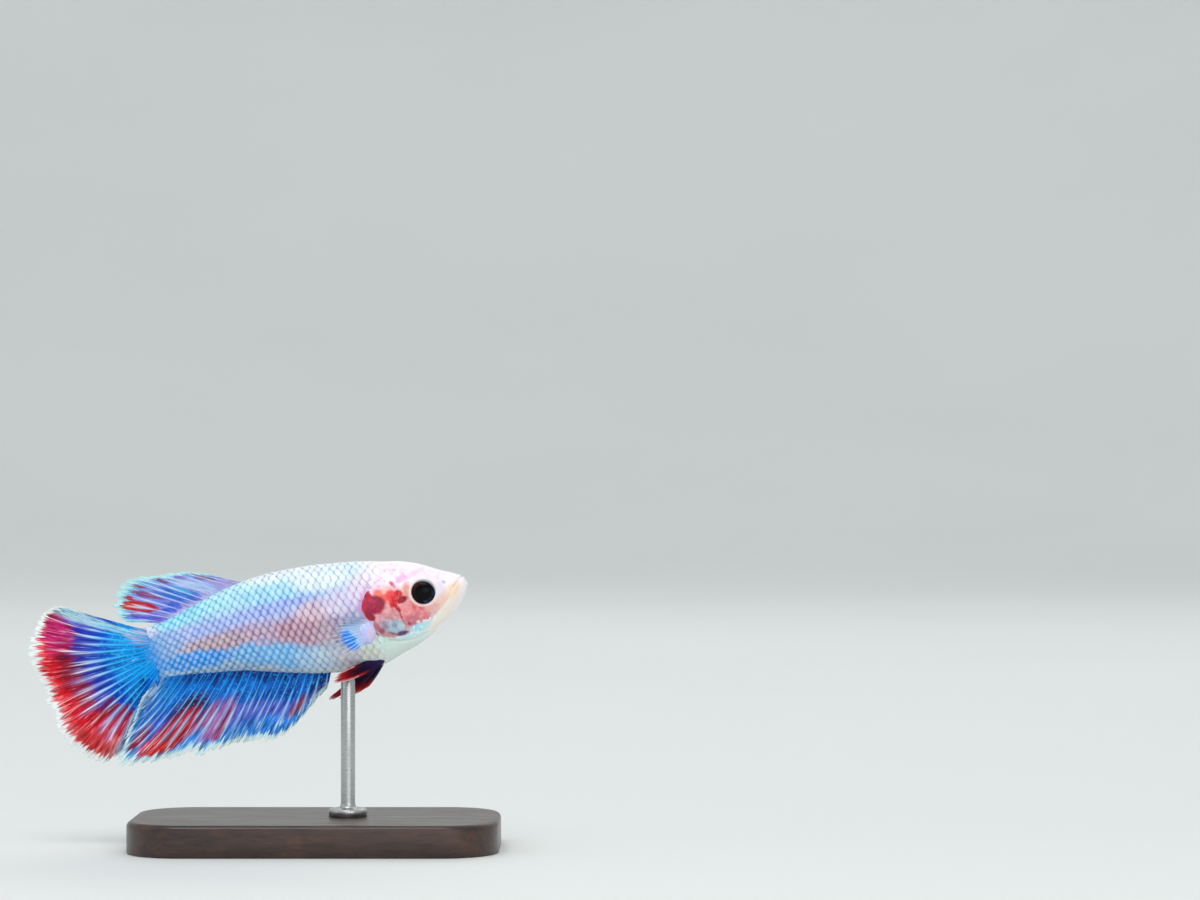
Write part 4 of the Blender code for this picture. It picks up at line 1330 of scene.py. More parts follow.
# %% [markdown]
# ## A fin's own colours
# Each fin has ramps of its own from base to margin, for web, rays and the core of each ray, and
# named patches. A fin bends, so its patches are laid in its own coordinates: across its rays,
# from 0 to 1, and along them. Noise stretched along the rays makes a patch end ray by ray.

# %% Fin finish
FIN_DIALS = {
    "ray_strength": 0.9, "speckle": 0.4, "speckle_colour": "#35c8ff", "core_strength": 0.85,
    "shade": 0.7,
}  # fmt: skip


def fin_finish(name, web, rays, cores, patches, margin, margin_width=0.05, shifts=(), **changed):
    """A fin's finish. A row of `shifts` is a q from, a q to, and how far the web's ramp has moved
    by then. Dials that are not changed stay at FIN_DIALS."""
    dials = FIN_DIALS | changed
    paint = Finish(name, roughness=0.4, specular=0.14, coat=0.06, coat_roughness=0.2)
    across, along = paint.read("fin_across"), paint.read("fin_along")
    place = paint.put("CombineXYZ", {0: across, 2: along}).outputs[0]
    wander = paint.noise(paint.stretched(place, (26, 1.0, 7)), 1.0, 3.0, 0.7, "Color")
    wander = paint.vector("ADD", wander, (-0.5, -0.5, -0.5))
    wander = paint.vector("MULTIPLY", wander, (0.035, 0.0, 0.3))
    moved = paint.vector("ADD", place, wander)
    q_part, _, position = paint.parts(moved)
    for q_from, q_to, shift in shifts:
        position = paint.add(position, paint.step(q_part, q_from, q_to, 0.0, shift))
    sockets = [
        lay_patches(paint, moved, paint.ramp(position, web), patches),
        paint.ramp(along, rays), colour(margin), margin_width, dials["ray_strength"],
        dials["speckle"], colour(dials["speckle_colour"]), paint.ramp(along, cores),
        dials["core_strength"], dials["shade"],
    ]  # fmt: skip
    painted = fin_web.place_in(paint, *sockets)
    paint.feed("Base Color", painted[0])
    paint.lift(painted[1], 0.35)
    print(name, len(patches), "patches,", len(paint.tree.nodes), "nodes")
    paint.ray_mask = painted[2]
    return paint


print("dials", *FIN_DIALS)

# %% [markdown]
# ## The tail fin's colours
# Cyan at the root deepens to a royal blue, then turns over plum and maroon to scarlet at the
# margin. The red starts nearer the root in the lower rays. Patches along a slanting edge would
# show as blots, so the web's ramp itself is shifted across the rays.

# %% Tail fin finish
TAIL_PATCHES = {
    "cyan fan": (0.45, 0.26, 0.5, 0.1, 0, 0.9, 0.35, "#18b6fa"),
    "plum ring": (0.40, 0.6, 0.2, 0.05, 0, 0.9, 0.45, "#45186c"),
    "maroon heart": (0.5, 0.7, 0.15, 0.09, 0, 0.8, 0.7, "#8c0224"),
    "maroon lower inner": (0.78, 0.52, 0.1, 0.07, 0, 0.9, 0.7, "#8c1040"),
    "magenta upper rays": (0.15, 0.8, 0.15, 0.13, 0, 0.8, 0.65, "#d02088"),
    "scarlet lower rays": (0.84, 0.83, 0.1, 0.15, 0, 0.8, 0.85, "#e40614"),
    "dark lower base": (0.8, 0.17, 0.07, 0.05, 0, 0.9, 0.7, "#06246a"),
    "violet under the upper edge": (0.085, 0.6, 0.03, 0.2, 0, 0.8, 0.8, "#4a44d2"),
    "pale upper root": (0.07, 0.05, 0.16, 0.14, 0, 0.8, 0.9, "#d8d2f4"),
    "pale upper edge": (0.015, 0.6, 0.05, 0.6, 0, 0.8, 1.0, "#b9ecfa"),
    "pale lower edge": (0.985, 0.55, 0.03, 0.5, 0, 0.8, 0.9, "#8fb8dc"),
    "white fleck": (0.46, 0.15, 0.008, 0.014, 0, 0.8, 0.9, "#f2ffff"),
}
tail_finish = fin_finish(
    "tail fin",
    ((0.0, "#0c8ae0"), (0.07, "#0490ec"), (0.2, "#0496f8"), (0.34, "#0058e0"), (0.5, "#0038bc"),
     (0.61, "#1c2cc0"), (0.69, "#a0063e"), (0.78, "#d20424"), (0.9, "#f01428"), (1.0, "#ff8f92")),
    ((0.0, "#06a4f8"), (0.2, "#12c0ff"), (0.38, "#50ccff"), (0.5, "#b8e4ff"), (0.62, "#ecf2ff"),
     (0.78, "#ffd0dc"), (1.0, "#ffffff")),
    ((0.0, "#12a0f2"), (0.35, "#1c9cf8"), (0.5, "#7fa4f8"), (0.62, "#b4b4fa"), (0.74, "#b084e0"),
     (0.86, "#e0486c"), (1.0, "#ff8f8a")),
    TAIL_PATCHES, "#f4fbfc", 0.045, shifts=((0.7, 0.86, 0.2), (0.3, 0.5, 0.05), (0.2, 0.02, -0.06)),
    speckle=0.6, shade=0.6,
)  # fmt: skip

# %% [markdown]
# ## The anal fin's colours
# The long fin below is a deep blue, with navy at the front and a bright sky blue towards the tips
# of its rays. A lilac and crimson flame crosses it behind the middle, and its hem is pale. The
# flame's patches are long and thin, and overlap, so that it frays along the rays.

# %% Anal fin finish
ANAL_PATCHES = {
    "navy front": (0.03, 0.4, 0.07, 0.42, 0, 0.7, 1.0, "#00308c"),
    "shadow by the belly": (0.4, 0.05, 0.6, 0.07, 0, 0.8, 0.8, "#082f86"),
    # painted shadow: a navy patch near the root of the front rays
    "navy painted shadow": (0.21, 0.2, 0.05, 0.16, 0, 0.8, 0.7, "#0a2c98"),
    "lavender middle": (0.33, 0.52, 0.17, 0.12, 0, 0.8, 0.7, "#6468d8"),
    "sky outer rays": (0.25, 0.8, 0.13, 0.16, 0, 0.8, 0.85, "#1f8cf0"),
    "front wine": (0.125, 0.58, 0.035, 0.15, 0, 0.5, 1.0, "#8c2450"),
    "lilac": (0.5, 0.58, 0.05, 0.26, 0, 0.6, 0.95, "#b06ab0"),
    "wine streak": (0.475, 0.68, 0.014, 0.2, 0, 0.6, 0.9, "#a02858"),
    "pink": (0.57, 0.52, 0.03, 0.16, 0, 0.7, 0.9, "#b84e7c"),
    "plum root": (0.68, 0.38, 0.085, 0.16, 0, 0.6, 0.9, "#480c48"),
    "crimson": (0.675, 0.64, 0.085, 0.25, 0, 0.4, 1.0, "#c40628"),
    "bright red": (0.72, 0.8, 0.05, 0.1, 0, 0.7, 0.9, "#f41616"),
    "rear wine": (0.825, 0.74, 0.04, 0.16, 0, 0.5, 1.0, "#a01c48"),
    "rear blue": (0.92, 0.4, 0.1, 0.5, 0, 0.6, 0.8, "#1a7cd8"),
    "pale rear edge": (0.99, 0.5, 0.03, 0.6, 0, 0.8, 0.9, "#a4c8e4"),
    "white leading edge": (0.02, 0.9, 0.05, 0.22, 0, 0.7, 0.9, "#d2f2f4"),
}
anal_finish = fin_finish(
    "anal fin",
    ((0.0, "#084aa8"), (0.12, "#085ac4"), (0.22, "#0a6edc"), (0.38, "#0c5cc8"), (0.52, "#2c52d0"),
     (0.68, "#2f7ce8"), (0.84, "#3f9ef4"), (1.0, "#8fd0f4")),
    ((0.0, "#0a80dc"), (0.16, "#14acff"), (0.36, "#70ccff"), (0.58, "#b8e2ff"), (0.75, "#e0f2fe"),
     (1.0, "#f4fbfb")),
    ((0.0, "#1787dc"), (0.35, "#54a8f8"), (0.6, "#a8b8f8"), (0.8, "#b4e2fa"), (1.0, "#d8f4f8")),
    ANAL_PATCHES, "#d6f2f6", 0.06, speckle=0.35, speckle_colour="#38bcfa",
)  # fmt: skip

# %% [markdown]
# ## The dorsal fin's colours
# The fin on the back is lavender and pale blue, darker behind, with wine and red spots near the
# top and a cyan hem. It is the palest of the fins, so it is given less shade between its rays.

# %% Dorsal fin finish
DORSAL_PATCHES = {
    "lavender front": (0.08, 0.3, 0.12, 0.3, 0, 0.7, 0.9, "#c2aee6"),
    "front red": (0.11, 0.62, 0.055, 0.13, 0, 0.5, 1.0, "#a4285c"),
    "front pink": (0.12, 0.8, 0.045, 0.09, 0, 0.7, 0.8, "#cc8cb4"),
    "violet": (0.25, 0.72, 0.034, 0.13, 0, 0.6, 0.9, "#8444c4"),
    "pale middle": (0.31, 0.4, 0.1, 0.35, 0, 0.8, 0.9, "#c0d6fc"),
    "blue heart": (0.51, 0.33, 0.11, 0.24, 0, 0.6, 0.9, "#2472dc"),
    "cyan flush": (0.45, 0.4, 0.04, 0.14, 0, 0.8, 0.7, "#58c8f0"),
    "blue lower": (0.72, 0.2, 0.1, 0.1, 0, 0.7, 0.9, "#3c62e4"),
    "mauve": (0.65, 0.62, 0.034, 0.2, 0, 0.5, 0.9, "#a03a80"),
    "wine top": (0.4, 0.76, 0.028, 0.13, 0, 0.5, 0.9, "#8a2c74"),
    "wine streak": (0.575, 0.8, 0.018, 0.12, 0, 0.5, 0.9, "#a83058"),
    "red spot": (0.727, 0.8, 0.022, 0.07, 0, 0.5, 1.0, "#cc3a50"),
    "red patch": (0.795, 0.6, 0.062, 0.27, 0, 0.4, 1.0, "#d81428"),
    "scarlet tip": (0.81, 0.8, 0.036, 0.07, 0, 0.6, 1.0, "#dc4024"),
    "magenta": (0.885, 0.62, 0.03, 0.14, 0, 0.6, 0.9, "#a01080"),
    "violet rear": (0.92, 0.4, 0.07, 0.4, 0, 0.7, 0.8, "#5a54d8"),
    "cyan rear edge": (0.99, 0.75, 0.03, 0.3, 0, 0.7, 0.9, "#9cecfa"),
}
dorsal_finish = fin_finish(
    "dorsal fin",
    ((0.0, "#d2d8f2"), (0.14, "#a698e0"), (0.35, "#7f8cec"), (0.6, "#6f8cf0"), (0.78, "#7cb4f4"),
     (0.9, "#9cecf8"), (1.0, "#d4f8fa")),
    ((0.0, "#c4b8f0"), (0.3, "#b4ccfa"), (0.6, "#d4e4fc"), (1.0, "#e4fcfc")),
    ((0.0, "#c4b8f0"), (0.4, "#9cc0fa"), (0.7, "#c4d4fa"), (1.0, "#d8f8fa")),
    DORSAL_PATCHES, "#c2f5f8", 0.08, speckle=0.2, shade=0.4,
)  # fmt: skip

# %% [markdown]
# ## The paired fins' colours
# The pelvic fins are near black at the root and dark red at the tips. The pectoral fins are clear
# but for a lilac root and a blue band. Glass would bend the light as no thin web does, so they
# are made clear with alpha: solid to the blue band, faint beyond it, the rays less so.

# %% Paired fin finishes
pelvic_finish = fin_finish(
    "pelvic fin",
    ((0.0, "#120630"), (0.48, "#1c0630"), (0.64, "#5c0418"), (0.76, "#b00614"), (1.0, "#d0141c")),
    ((0.0, "#4a3488"), (0.4, "#3c1c5c"), (0.7, "#7a1420"), (1.0, "#d88a8c")),
    ((0.0, "#2a1450"), (0.5, "#5a0a20"), (1.0, "#c02428")),
    {}, "#d9aeb4", 0.03, speckle=0.0, ray_strength=0.35, shade=0.4,
)  # fmt: skip
PECTORAL_PATCHES = {
    "lilac root": (0.5, 0.14, 0.6, 0.2, 0, 0.8, 0.9, "#d3cbf6"),
    "pale blue web": (0.5, 0.36, 0.6, 0.12, 0, 0.8, 0.9, "#b4d8fc"),
    "blue patch": (0.72, 0.46, 0.32, 0.1, 0, 0.5, 1.0, "#1c96fb"),
    "deep blue edge": (0.74, 0.52, 0.27, 0.06, 0, 0.6, 0.9, "#0880f8"),
    "grey upper rays": (0.06, 0.5, 0.2, 0.4, 0, 0.7, 0.7, "#b4bccc"),
}
pectoral_finish = fin_finish(
    "pectoral fin",
    ((0.0, "#dccdec"), (0.25, "#bcccfa"), (0.45, "#9cc4fa"), (0.6, "#c6ccdc"), (1.0, "#d4d4dc")),
    ((0.0, "#dcd6f6"), (0.4, "#b4d6ff"), (0.6, "#d8dcec"), (1.0, "#e6e6ec")),
    ((0.0, "#dcd6f6"), (0.5, "#a8ccfa"), (1.0, "#dcdce8")),
    PECTORAL_PATCHES, "#dcdce6", 0.02, speckle=0.0, ray_strength=0.7, shade=0.15,
)  # fmt: skip
paint = pectoral_finish
along = paint.read("fin_along")
solid = paint.step(along, 0.5, 0.64, 0.95, 0.0)
upper = paint.step(paint.read("fin_across"), 0.36, 0.2)
clearer = paint.times(upper, paint.step(along, 0.2, 0.5, 0.0, 0.75))
solid = paint.times(solid, paint.less(1.0, clearer))
ray_alpha = paint.times(paint.ray_mask, paint.step(along, 0.55, 1.0, 0.6, 0.25))
solid = paint.sums("MAXIMUM", solid, 0.07)
paint.feed("Alpha", paint.sums("MAXIMUM", ray_alpha, solid))

# %% [markdown]
# ## The fins' outlines
# Each fin has a curve along its base and one along its tips. A tips row is t, x and z. The bow
# bends the rays, the lean takes them off the middle plane, and the wave ripples the web. A fish's
# fins are never flat, even at rest.

# %% Fin shapes
DORSAL = dict(
    base=((14.0, 6.1), (11.0, 5.7), (7.5, 4.7), (4.2, 3.7), (2.7, 3.4)),
    tips=((0.0, 8.8, 8.5), (0.15, 6.2, 9.3), (0.3, 3.5, 9.55), (0.45, 1.1, 9.85), (0.56, -0.7, 9.7),
          (0.66, -1.9, 9.0), (0.76, -2.6, 7.9), (0.87, -3.0, 6.3), (0.94, -2.7, 5.3),
          (1.0, -1.8, 4.6)),
    bow=(0.03, -0.05), lean=(-0.3, 0.4), wave=(0.35, 1.3, 0.1),
)  # fmt: skip
CAUDAL = dict(
    base=((0.5, 3.1), (0.6, 0.0), (0.9, -3.3)),
    tips=((0.0, -9.4, 8.5), (0.08, -11.7, 8.2), (0.2, -13.2, 6.1), (0.33, -14.4, 2.9),
          (0.46, -14.2, -0.6), (0.6, -13.5, -4.1), (0.74, -12.7, -7.8), (0.85, -11.0, -10.4),
          (0.94, -8.5, -11.9), (1.0, -5.9, -11.3)),
    bow=(0.02, 0.06), lean=(-0.7, 1.5), wave=(0.5, 2.4, 0.0),
)  # fmt: skip
ANAL = dict(
    base=((22.0, -6.8), (16.0, -5.4), (11.0, -4.1), (6.0, -3.5), (1.0, -3.1)),
    tips=((0.0, 20.9, -8.9), (0.05, 19.0, -10.3), (0.1, 15.9, -12.6), (0.15, 13.9, -13.6),
          (0.21, 11.4, -13.6), (0.33, 8.6, -13.2), (0.46, 5.0, -13.6), (0.56, 1.2, -13.2),
          (0.65, -2.3, -13.5), (0.72, -4.6, -13.2), (0.785, -6.1, -12.3), (0.86, -5.5, -10.5),
          (0.93, -3.5, -7.6), (1.0, -1.3, -4.5)),
    bow=(0.02, 0.07), lean=(0.5, -1.6), wave=(0.4, 3.2, 0.3),
)  # fmt: skip
PELVIC_TIPS = {
    "right": ((0.0, 25.2, -8.2), (0.25, 23.8, -8.45), (0.5, 22.2, -8.3), (0.75, 22.6, -7.5),
              (1.0, 24.5, -7.0)),
    "left": ((0.0, 25.7, -10.1), (0.25, 23.4, -10.8), (0.5, 20.4, -10.6), (0.75, 22.3, -9.6),
             (1.0, 24.6, -8.5)),
}  # fmt: skip
PECTORAL = dict(
    base=((28.5, -1.9), (28.4, -2.7), (28.2, -3.5)),
    tips=((0.0, 24.3, -0.2), (0.2, 22.4, -0.8), (0.4, 21.3, -1.8), (0.6, 21.4, -3.2),
          (0.8, 22.2, -4.7), (1.0, 23.5, -5.8)),
    bow=(-0.05, 0.08), lean=(-0.4, 0.6), wave=(0.0, 1.0, 0.0), root_y=3.2, splay=2.9,
)  # fmt: skip
PELVIC = dict(
    base=((28.7, -7.3), (28.2, -6.9), (27.7, -6.5)),
    bow=(0.05, 0.0), lean=(0.3, 0.3), wave=(0.0, 1.0, 0.0), root_y=1.1, splay=2.3,
)  # fmt: skip
print("rows of tips:", *(len(shape["tips"]) for shape in (DORSAL, CAUDAL, ANAL, PECTORAL)))

# %% [markdown]
# ## Seven fins
# A row of rays is their number, where they fork, their widths from root to tip, and their height.
# The web's row is its half thickness at the root, in the middle and at the edge. The margin's row
# is the tips to a tooth, the notches' depth, and how far the longest tooth stands out.

# %% Make the fins
fin("caudal_fin", tail_finish, "blue_red_fin", 11, CAUDAL,
    (15, (0.36, 0.64), (0.17, 0.13, 0.15, 0.075, 0.045), 0.13),
    440, 92, (0.42, 0.09, 0.03), (2, 0.06, 0.03), pinch=0.2)  # fmt: skip
fin("anal_fin", anal_finish, "blue_red_fin", 12, ANAL,
    (25, (0.42, 0.72), (0.15, 0.11, 0.11, 0.09, 0.07), 0.12),
    520, 76, (0.3, 0.08, 0.03), (4, 0.13, 0.05))  # fmt: skip
fin("dorsal_fin", dorsal_finish, "blue_red_fin", 13, DORSAL,
    (12, (0.42, 0.7), (0.16, 0.13, 0.14, 0.11, 0.08), 0.12),
    280, 84, (0.3, 0.08, 0.03), (2, 0.13, 0.05))  # fmt: skip
for label, mirror in BOTH_SIDES:
    pelvic = dict(PELVIC, tips=PELVIC_TIPS[label], mirror=mirror)
    fin(f"pelvic_fin_{label}", pelvic_finish, "dark_red_fin", 14, pelvic,
        (5, (0.5, 0.75), (0.2, 0.18, 0.16, 0.12, 0.08), 0.14),
        130, 60, (0.25, 0.08, 0.03), (4, 0.2, 0.05))  # fmt: skip
    fin(f"pectoral_fin_{label}", pectoral_finish, "clear_fin", 15, dict(PECTORAL, mirror=mirror),
        (11, (0.45, 0.75), (0.12, 0.1, 0.08, 0.06, 0.04), 0.08),
        260, 64, (0.34, 0.05, 0.02), (2, 0.05, 0.02))  # fmt: skip

# %% [markdown]
# ## The eyes
# A fish's eye is a flattened ball with no lids. Blender's own sphere would do for its shape, but
# a ball of rings turned about the axis that faces sideways has its poles at the pupil and the
# back, and the pectoral fins' lobes can be made with it too. It sits in the skin's socket.


# %% A ball that faces sideways
def ball(centre, half, mirror, turn=0.0, rings=33, sides=64):
    """Centre + (half length sin a cos u, half depth cos a, half height sin a sin u), turned, as
    points and faces closed at the two poles."""
    from_front = np.linspace(0, math.pi, rings)[:, None]
    circle = np.arange(sides)[None, :] / sides * 2 * math.pi
    along = half[0] * np.sin(from_front) * np.cos(circle)
    up = half[2] * np.sin(from_front) * np.sin(circle)
    y = centre[1] + half[1] * np.cos(from_front) + 0 * circle
    c, s = math.cos(math.radians(turn)), math.sin(math.radians(turn))
    x, z = centre[0] + along * c - up * s, centre[2] + along * s + up * c
    grid = np.stack([x, -y if mirror else y, z], -1)
    points, faces = with_poles(grid[1:-1], grid[0, 0], grid[-1, 0])
    return points, facing(faces, mirror)


print("a ball has", len(ball((0, 0, 0), (1, 1, 1), False)[0]), "points")

# %% [markdown]
# ## A dark wet eye
# The pupil is round and black, and the iris round it nearly so, with a few brown and blue patches,
# a painted blue-grey glint below, and a painted highlight as a thin pale crescent at its rim. A
# clear coat is the wet cornea: a separate glass shell would do the same with more to go wrong.

# %% Eye finish
EYE_HALF = (1.65, 1.155, 1.65)
HIGHLIGHT_CRESCENT_SHIFT = (-0.14, 0.0, -0.18)
EYE_PATCHES = {
    "brown upper iris": (-0.66, 1.02, 0.75, 0.5, 30, 0.8, 0.95, "#40160c"),
    "brown rear iris": (-1.22, 0.1, 0.3, 0.8, 0, 0.8, 0.7, "#200c08"),
    "blue front iris": (1.16, -0.42, 0.2, 0.62, 22, 0.8, 0.9, "#12284c"),
    "blue lower iris": (0.55, -1.12, 0.62, 0.2, 24, 0.8, 0.9, "#102440"),
    # painted highlight: a blue-grey glint low on the iris
    "lower glint": (0.0, -1.22, 0.2, 0.12, 0, 0.9, 0.7, "#34527c"),
}
paint = Finish("dark eye", roughness=0.3, specular=0.05, coat=0.13, coat_roughness=0.04)
flat_eye = beside_eye(paint, place_on_fish(paint))
from_middle = paint.length(flat_eye)
fibres = paint.noise(flat_eye, 3.5, 3.0, 0.7)
iris = paint.ramp(fibres, ((0.35, "#0c0708"), (0.7, "#1c0f0e")))
iris = lay_patches(paint, flat_eye, iris, EYE_PATCHES)
iris = paint.over(paint.step(from_middle, 1.3, 1.46), iris, colour("#060506"))
# painted highlight: a thin pale crescent at the iris's rim
from_highlight_crescent = paint.length(paint.vector("SUBTRACT", flat_eye, HIGHLIGHT_CRESCENT_SHIFT))
iris = paint.over(paint.step(from_highlight_crescent, 1.5, 1.64, 0.0, 0.9), iris, colour("#a9b2ba"))
pupil = paint.step(from_middle, 1.12, 0.94)
paint.feed("Base Color", paint.over(pupil, iris, colour("#020203")))
for label, mirror in BOTH_SIDES:
    eye = piece(f"eye_{label}_finished", *ball(EYE_PLACE, EYE_HALF, mirror), paint, "black_eye")
    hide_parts(f"eye_{label}")

# %% [markdown]
# ## The pectoral fins' fleshy roots
# Each pectoral fin grows from a soft upright lobe of flesh just behind the gill cover, pale
# lavender with a violet fold where the rays begin. It is the same ball as the eye, stretched,
# leant back along the gill cover's edge, and sunk half way into the flank over the fin's root.

# %% Pectoral lobes
LOBE_PLACE, LOBE_HALF, LOBE_TURN = (27.4, 3.5, -2.95), (1.25, 0.5, 1.6), 14.0
LOBE_PATCHES = {
    "blue white upper lobe": (26.9, -2.2, 0.7, 0.7, 0, 0.9, 0.9, "#c6dcff"),
    "rose lower lobe": (28.3, -3.6, 0.5, 0.9, 15, 0.9, 0.8, "#dcc4da"),
    "violet fold": (26.75, -2.9, 0.1, 0.8, 8, 0.9, 0.85, "#868af0"),
    "inner fold": (27.25, -2.6, 0.07, 0.55, 12, 0.9, 0.5, "#a8a4ec"),
    # painted shadow: a dark line along the top of the lobe, under the scales above it
    "painted shadow under the scales": (26.9, -1.6, 0.75, 0.16, -24, 0.8, 0.9, "#54468e"),
}
paint = Finish("pectoral lobe", roughness=0.38, coat=0.25, coat_roughness=0.15)
place = place_on_fish(paint)
flesh = lay_patches(paint, place, colour("#c6c6fa"), LOBE_PATCHES)
cloud = paint.step(paint.noise(place, 2.4, 3.0, 0.6), 0.5, 0.68, 0.0, 0.35)
paint.feed("Base Color", paint.over(cloud, flesh, colour("#e8f0ff")))
for label, mirror in BOTH_SIDES:
    lobe = ball(LOBE_PLACE, LOBE_HALF, mirror, LOBE_TURN)
    piece(f"pectoral_lobe_{label}", *lobe, paint, "clear_fin")

# %% [markdown]
# ## The display stand's base
# The fish swims clear of a dark wooden base on a steel rod. The base is a rounded rectangle drawn
# inwards ring by ring: straight sides, a rounded top edge, then the flat top. A bevelled block
# would do too, but rings keep the edge's roundness exact and its faces even.

# %% Base shape
BASE_HALF, BASE_CORNER, BASE_TOP, BASE_EDGE = (23.0, 12.0), 7.0, 4.0, 0.7


def base_ring(inset, height, corners=12):
    """The base's outline at one height: four quarter circles, all moved in by the inset."""
    radius = max(BASE_CORNER - inset, 0.3)
    quarter = np.linspace(0, math.pi / 2, corners)
    turn = np.concatenate([quarter + k * math.pi / 2 for k in range(4)])
    right = np.repeat((1, -1, -1, 1), corners) * (BASE_HALF[0] - inset - radius)
    far = np.repeat((1, 1, -1, -1), corners) * (BASE_HALF[1] - inset - radius)
    x, y = right + radius * np.cos(turn), far + radius * np.sin(turn)
    return np.stack([x, y, height + 0 * turn], -1)


def display_base():
    """Rings from the underside's edge up the side, over the rounded edge and in over the top."""
    turn = np.linspace(0, math.pi / 2, 9)
    insets = [0.35, 0.12, 0.0, 0.0, *(BASE_EDGE * (1 - np.cos(turn))), 1.2, 3.0, 6.0]
    heights = [0.0, 0.04, 0.16, 2.0, *(BASE_TOP - BASE_EDGE * (1 - np.sin(turn)))]
    heights += [BASE_TOP] * 3
    rings = [base_ring(inset, height) for inset, height in zip(insets, heights, strict=True)]
    return with_flat_ends(np.stack(rings))


print("the base has", len(display_base()[0]), "points")

# %% [markdown]
# ## The rod
# The rod and its foot are one turned piece, as a lathe would make it. The profile runs up the
# foot's side, over its rounded edge, in along a fillet and up the rod, which ends inside the
# belly. It is carried round the rod's axis. A cylinder on a disc would meet it in a hard corner.

# %% Rod shape
ROD_X, ROD_RADIUS, FOOT_RADIUS = 4.0, 0.9, 2.4


def turned(profile, sides=48):
    """(rod x + radius cos u, radius sin u, height) for each (radius, height) of the profile."""
    turn = np.arange(sides) / sides * 2 * math.pi
    radius, height = np.array(profile, float).T[:, :, None]
    rings = [radius * np.cos(turn) + ROD_X, radius * np.sin(turn), height + 0 * turn]
    return with_flat_ends(np.stack(rings, -1))


rim, fillet = np.linspace(0.1, math.pi / 2, 5), np.linspace(0, math.pi / 2, 8)
foot = [(2.25, BASE_TOP), (FOOT_RADIUS, BASE_TOP), (FOOT_RADIUS, 4.62)]
foot += zip(FOOT_RADIUS - 0.3 * (1 - np.cos(rim)), 4.7 + 0.3 * np.sin(rim))
foot += zip(1.35 - 0.42 * np.sin(fillet), 5.55 - 0.55 * np.cos(fillet))
foot += [(ROD_RADIUS, 5.9), (ROD_RADIUS, 12.0), (ROD_RADIUS, 21.6), (0.6, 22.3)]
print("the rod's profile has", len(foot), "points")

# %% [markdown]
# ## Dark wood
# The base is dark oiled wood. Real grain is long fibres, so the noise is stretched along the base
# and bent a little, with short dark pores in it. Both also change the roughness or the relief,
# which is what tells wood from a brown paint.

# %% Wood finish
WOOD_TONES = ((0.25, "#1c0f0a"), (0.45, "#33201a"), (0.6, "#45291d"), (0.8, "#5a3826"))
paint = Finish("dark wood", coat=0.25, coat_roughness=0.2)
where = paint.room_place()
grained = paint.stretched(where, (90.0, 900.0, 700.0))
bend = paint.noise(paint.stretched(where, (40.0, 90.0, 90.0)), 1.0, 2.0)
bent = paint.put("CombineXYZ", {1: paint.times(bend, 9.0)}).outputs[0]
grain = paint.noise(paint.vector("ADD", grained, bent), 1.0, 5.0, 0.65)
pores = paint.noise(paint.stretched(where, (500.0, 5200.0, 5200.0)), 1.0, 2.0)
toned = paint.ramp(grain, WOOD_TONES)
toned = paint.over(paint.step(pores, 0.5, 0.68, 0.0, 0.5), toned, colour("#150b08"))
paint.feed("Base Color", toned)
paint.feed("Roughness", paint.step(grain, 0.3, 0.7, 0.30, 0.44))
paint.lift(paint.less(grain, pores), 0.2)
dark_wood = paint
print("dark wood", len(paint.tree.nodes), "nodes")

# %% [markdown]
# ## Brushed steel
# The rod has been brushed round its length. Very fine noise, stretched round the rod, gives faint
# rings in its colour, roughness and relief. Grooves that fine would need far too many points.

# %% Steel finish
paint = Finish("brushed steel", metallic=1.0)
brushed = paint.noise(paint.stretched(paint.room_place(), (900.0, 900.0, 24000.0)), 1.0, 3.0)
paint.feed("Base Color", paint.ramp(brushed, ((0.3, "#a9abac"), (0.7, "#c6c7c6"))))
paint.feed("Roughness", paint.step(brushed, 0.3, 0.7, 0.22, 0.38))
paint.lift(brushed, 0.15, 0.00005)
steel = paint
print("brushed steel", len(paint.tree.nodes), "nodes")

# %% [markdown]
# ## The stand's two pieces
# The stand stands level on the floor, so its places are in the room already. They are turned into
# the fish's frame first, because `piece` turns them back.


# %% Make the stand
def from_room(places):
    """Millimetres in the room, less the tail root, turned level: to_room() the other way."""
    x, y, z = (np.moveaxis(places, -1, 0) * MM) - np.array(TAIL_ROOT)[:, None]
    return np.stack([x * ACROSS + z * UP, y, z * ACROSS - x * UP], -1) / MM


points, faces = display_base()
stand_base = piece("stand_base_finished", from_room(points), faces, dark_wood, "dark_wood")
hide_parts("stand_base")
points, faces = turned(foot)
stand_rod = piece("stand_rod_finished", from_room(points), faces, steel, "steel_rod")
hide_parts("stand_rod")

# %% [markdown]
# ## The studio's floor
# The floor is a wide pale dish whose rim sweeps up, so that every view has a plain, soft backdrop
# with no horizon. A flat plane with a wall behind it would show its edge from the sides.

# %% Floor
FLOOR_FLAT, FLOOR_RIM, FLOOR_RISE, FLOOR_SIDES = 0.9, 2.4, 1.9, 96


def floor_height(radius):
    """Flat in the middle, then rise * (1 - sqrt(1 - out^2)), a quarter of an ellipse."""
    out = np.clip((radius - FLOOR_FLAT) / (FLOOR_RIM - FLOOR_FLAT), 0, 1)
    return FLOOR_RISE * (1 - np.sqrt(1 - out**2))


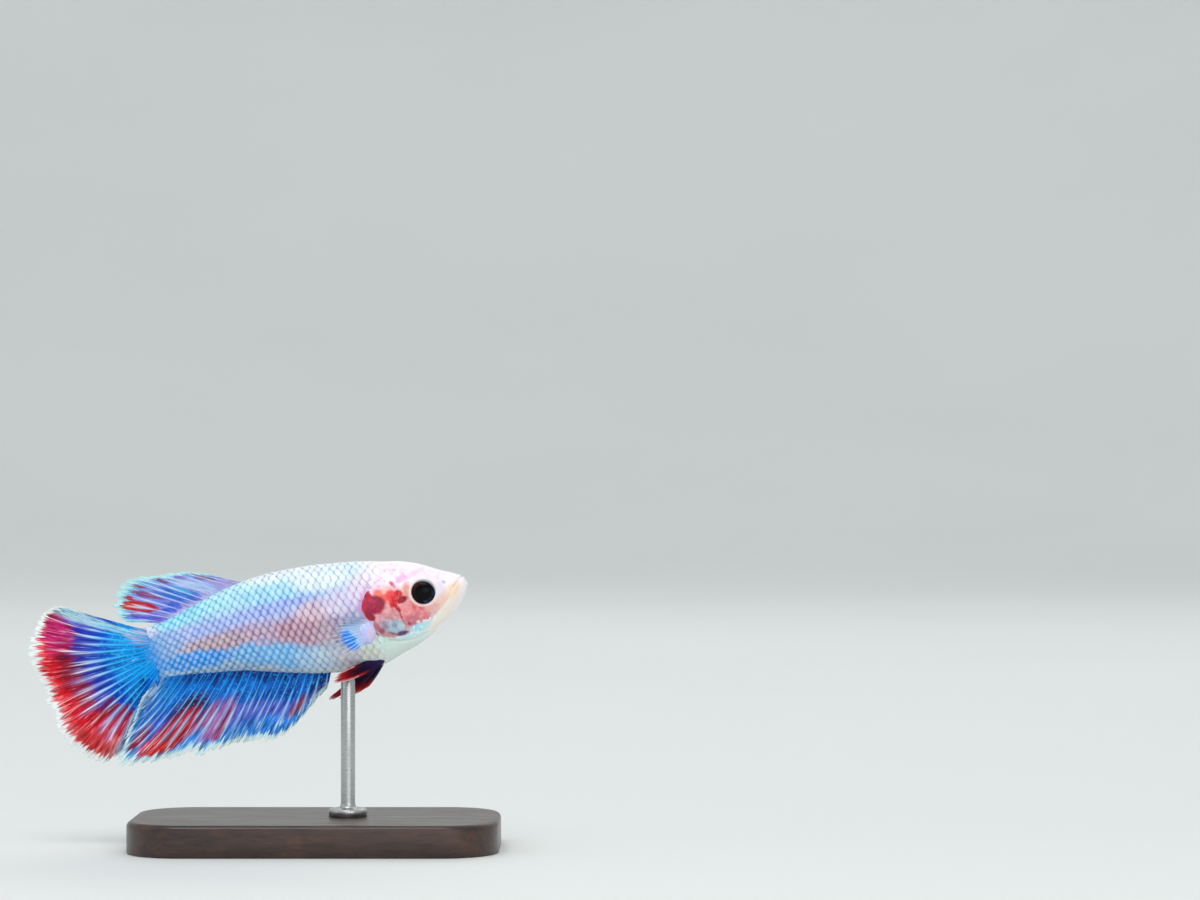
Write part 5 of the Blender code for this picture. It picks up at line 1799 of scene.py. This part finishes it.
turn = np.arange(FLOOR_SIDES) / FLOOR_SIDES * 2 * math.pi
radii = np.concatenate([[0.0], np.linspace(0.1, FLOOR_RIM * 0.9999, 60)])[:, None]
dish = np.stack([radii * np.cos(turn), radii * np.sin(turn), floor_height(radii) + 0 * turn], -1)
floor_mesh = bpy.data.meshes.new("floor")
dish_faces = quads(len(radii), FLOOR_SIDES, ring=True)
floor_mesh.from_pydata(dish.reshape(-1, 3).tolist(), [], dish_faces.tolist())
floor_mesh.shade_smooth()
floor = bpy.data.objects.new("floor", floor_mesh)
bpy.context.scene.collection.objects.link(floor)
paint = Finish("pale floor", roughness=0.75)
cloud = paint.noise(paint.room_place(), 3.0, 3.0)
paint.feed("Base Color", paint.ramp(cloud, ((0.3, "#e6e9e8"), (0.7, "#eceeed"))))
floor_mesh.materials.append(paint.material)
print("floor", len(dish_faces), "faces")

# %% [markdown]
# ## Lamps
# All the light is soft. The key hangs over the fish, a little in front. A large low panel far in
# front fills its side, a small one fills from the tail's end, and a strip behind lights the
# fins' edges. A pale sky all round keeps the shadows open.

# %% Lamps and world
MIDDLE_OF_FISH = (-0.005, 0.0, 0.028)
LAMPS = {  # place, width and height, watts, tint
    "key": ((-0.05, -0.30, 0.62), (0.4, 0.3), 1.2, (1.0, 1.0, 1.0)),
    "front_fill": ((0.35, -1.15, 0.1), (1.0, 0.8), 4.4, (0.97, 0.98, 1.0)),
    "left_fill": ((-0.75, -0.15, 0.35), (0.6, 0.6), 0.35, (1.0, 1.0, 1.0)),
    "back_strip": ((0.15, 0.6, 0.5), (0.8, 0.3), 0.7, (1.0, 1.0, 1.0)),
}
for name, (place, size, watts, tint) in LAMPS.items():
    lamp = bpy.data.objects.new(name, bpy.data.lights.new(name, "AREA"))
    lamp.data.shape = "RECTANGLE"
    lamp.data.size, lamp.data.size_y = size
    lamp.data.energy, lamp.data.color = watts, tint
    bpy.context.scene.collection.objects.link(lamp)
    aim = np.array(MIDDLE_OF_FISH) - np.array(place)
    tip_up = math.pi / 2 + math.atan2(aim[2], math.hypot(aim[0], aim[1]))
    lamp.location = place
    lamp.rotation_euler = (tip_up, 0.0, math.atan2(aim[1], aim[0]) - math.pi / 2)
world = bpy.data.worlds.new("studio air")
bpy.context.scene.world = world
world.use_nodes = True
sky = world.node_tree.nodes["Background"].inputs
sky[0].default_value, sky[1].default_value = colour("#eef1f2"), 0.85
bpy.context.scene.view_settings.view_transform = "Standard"
print("lamps", *LAMPS)
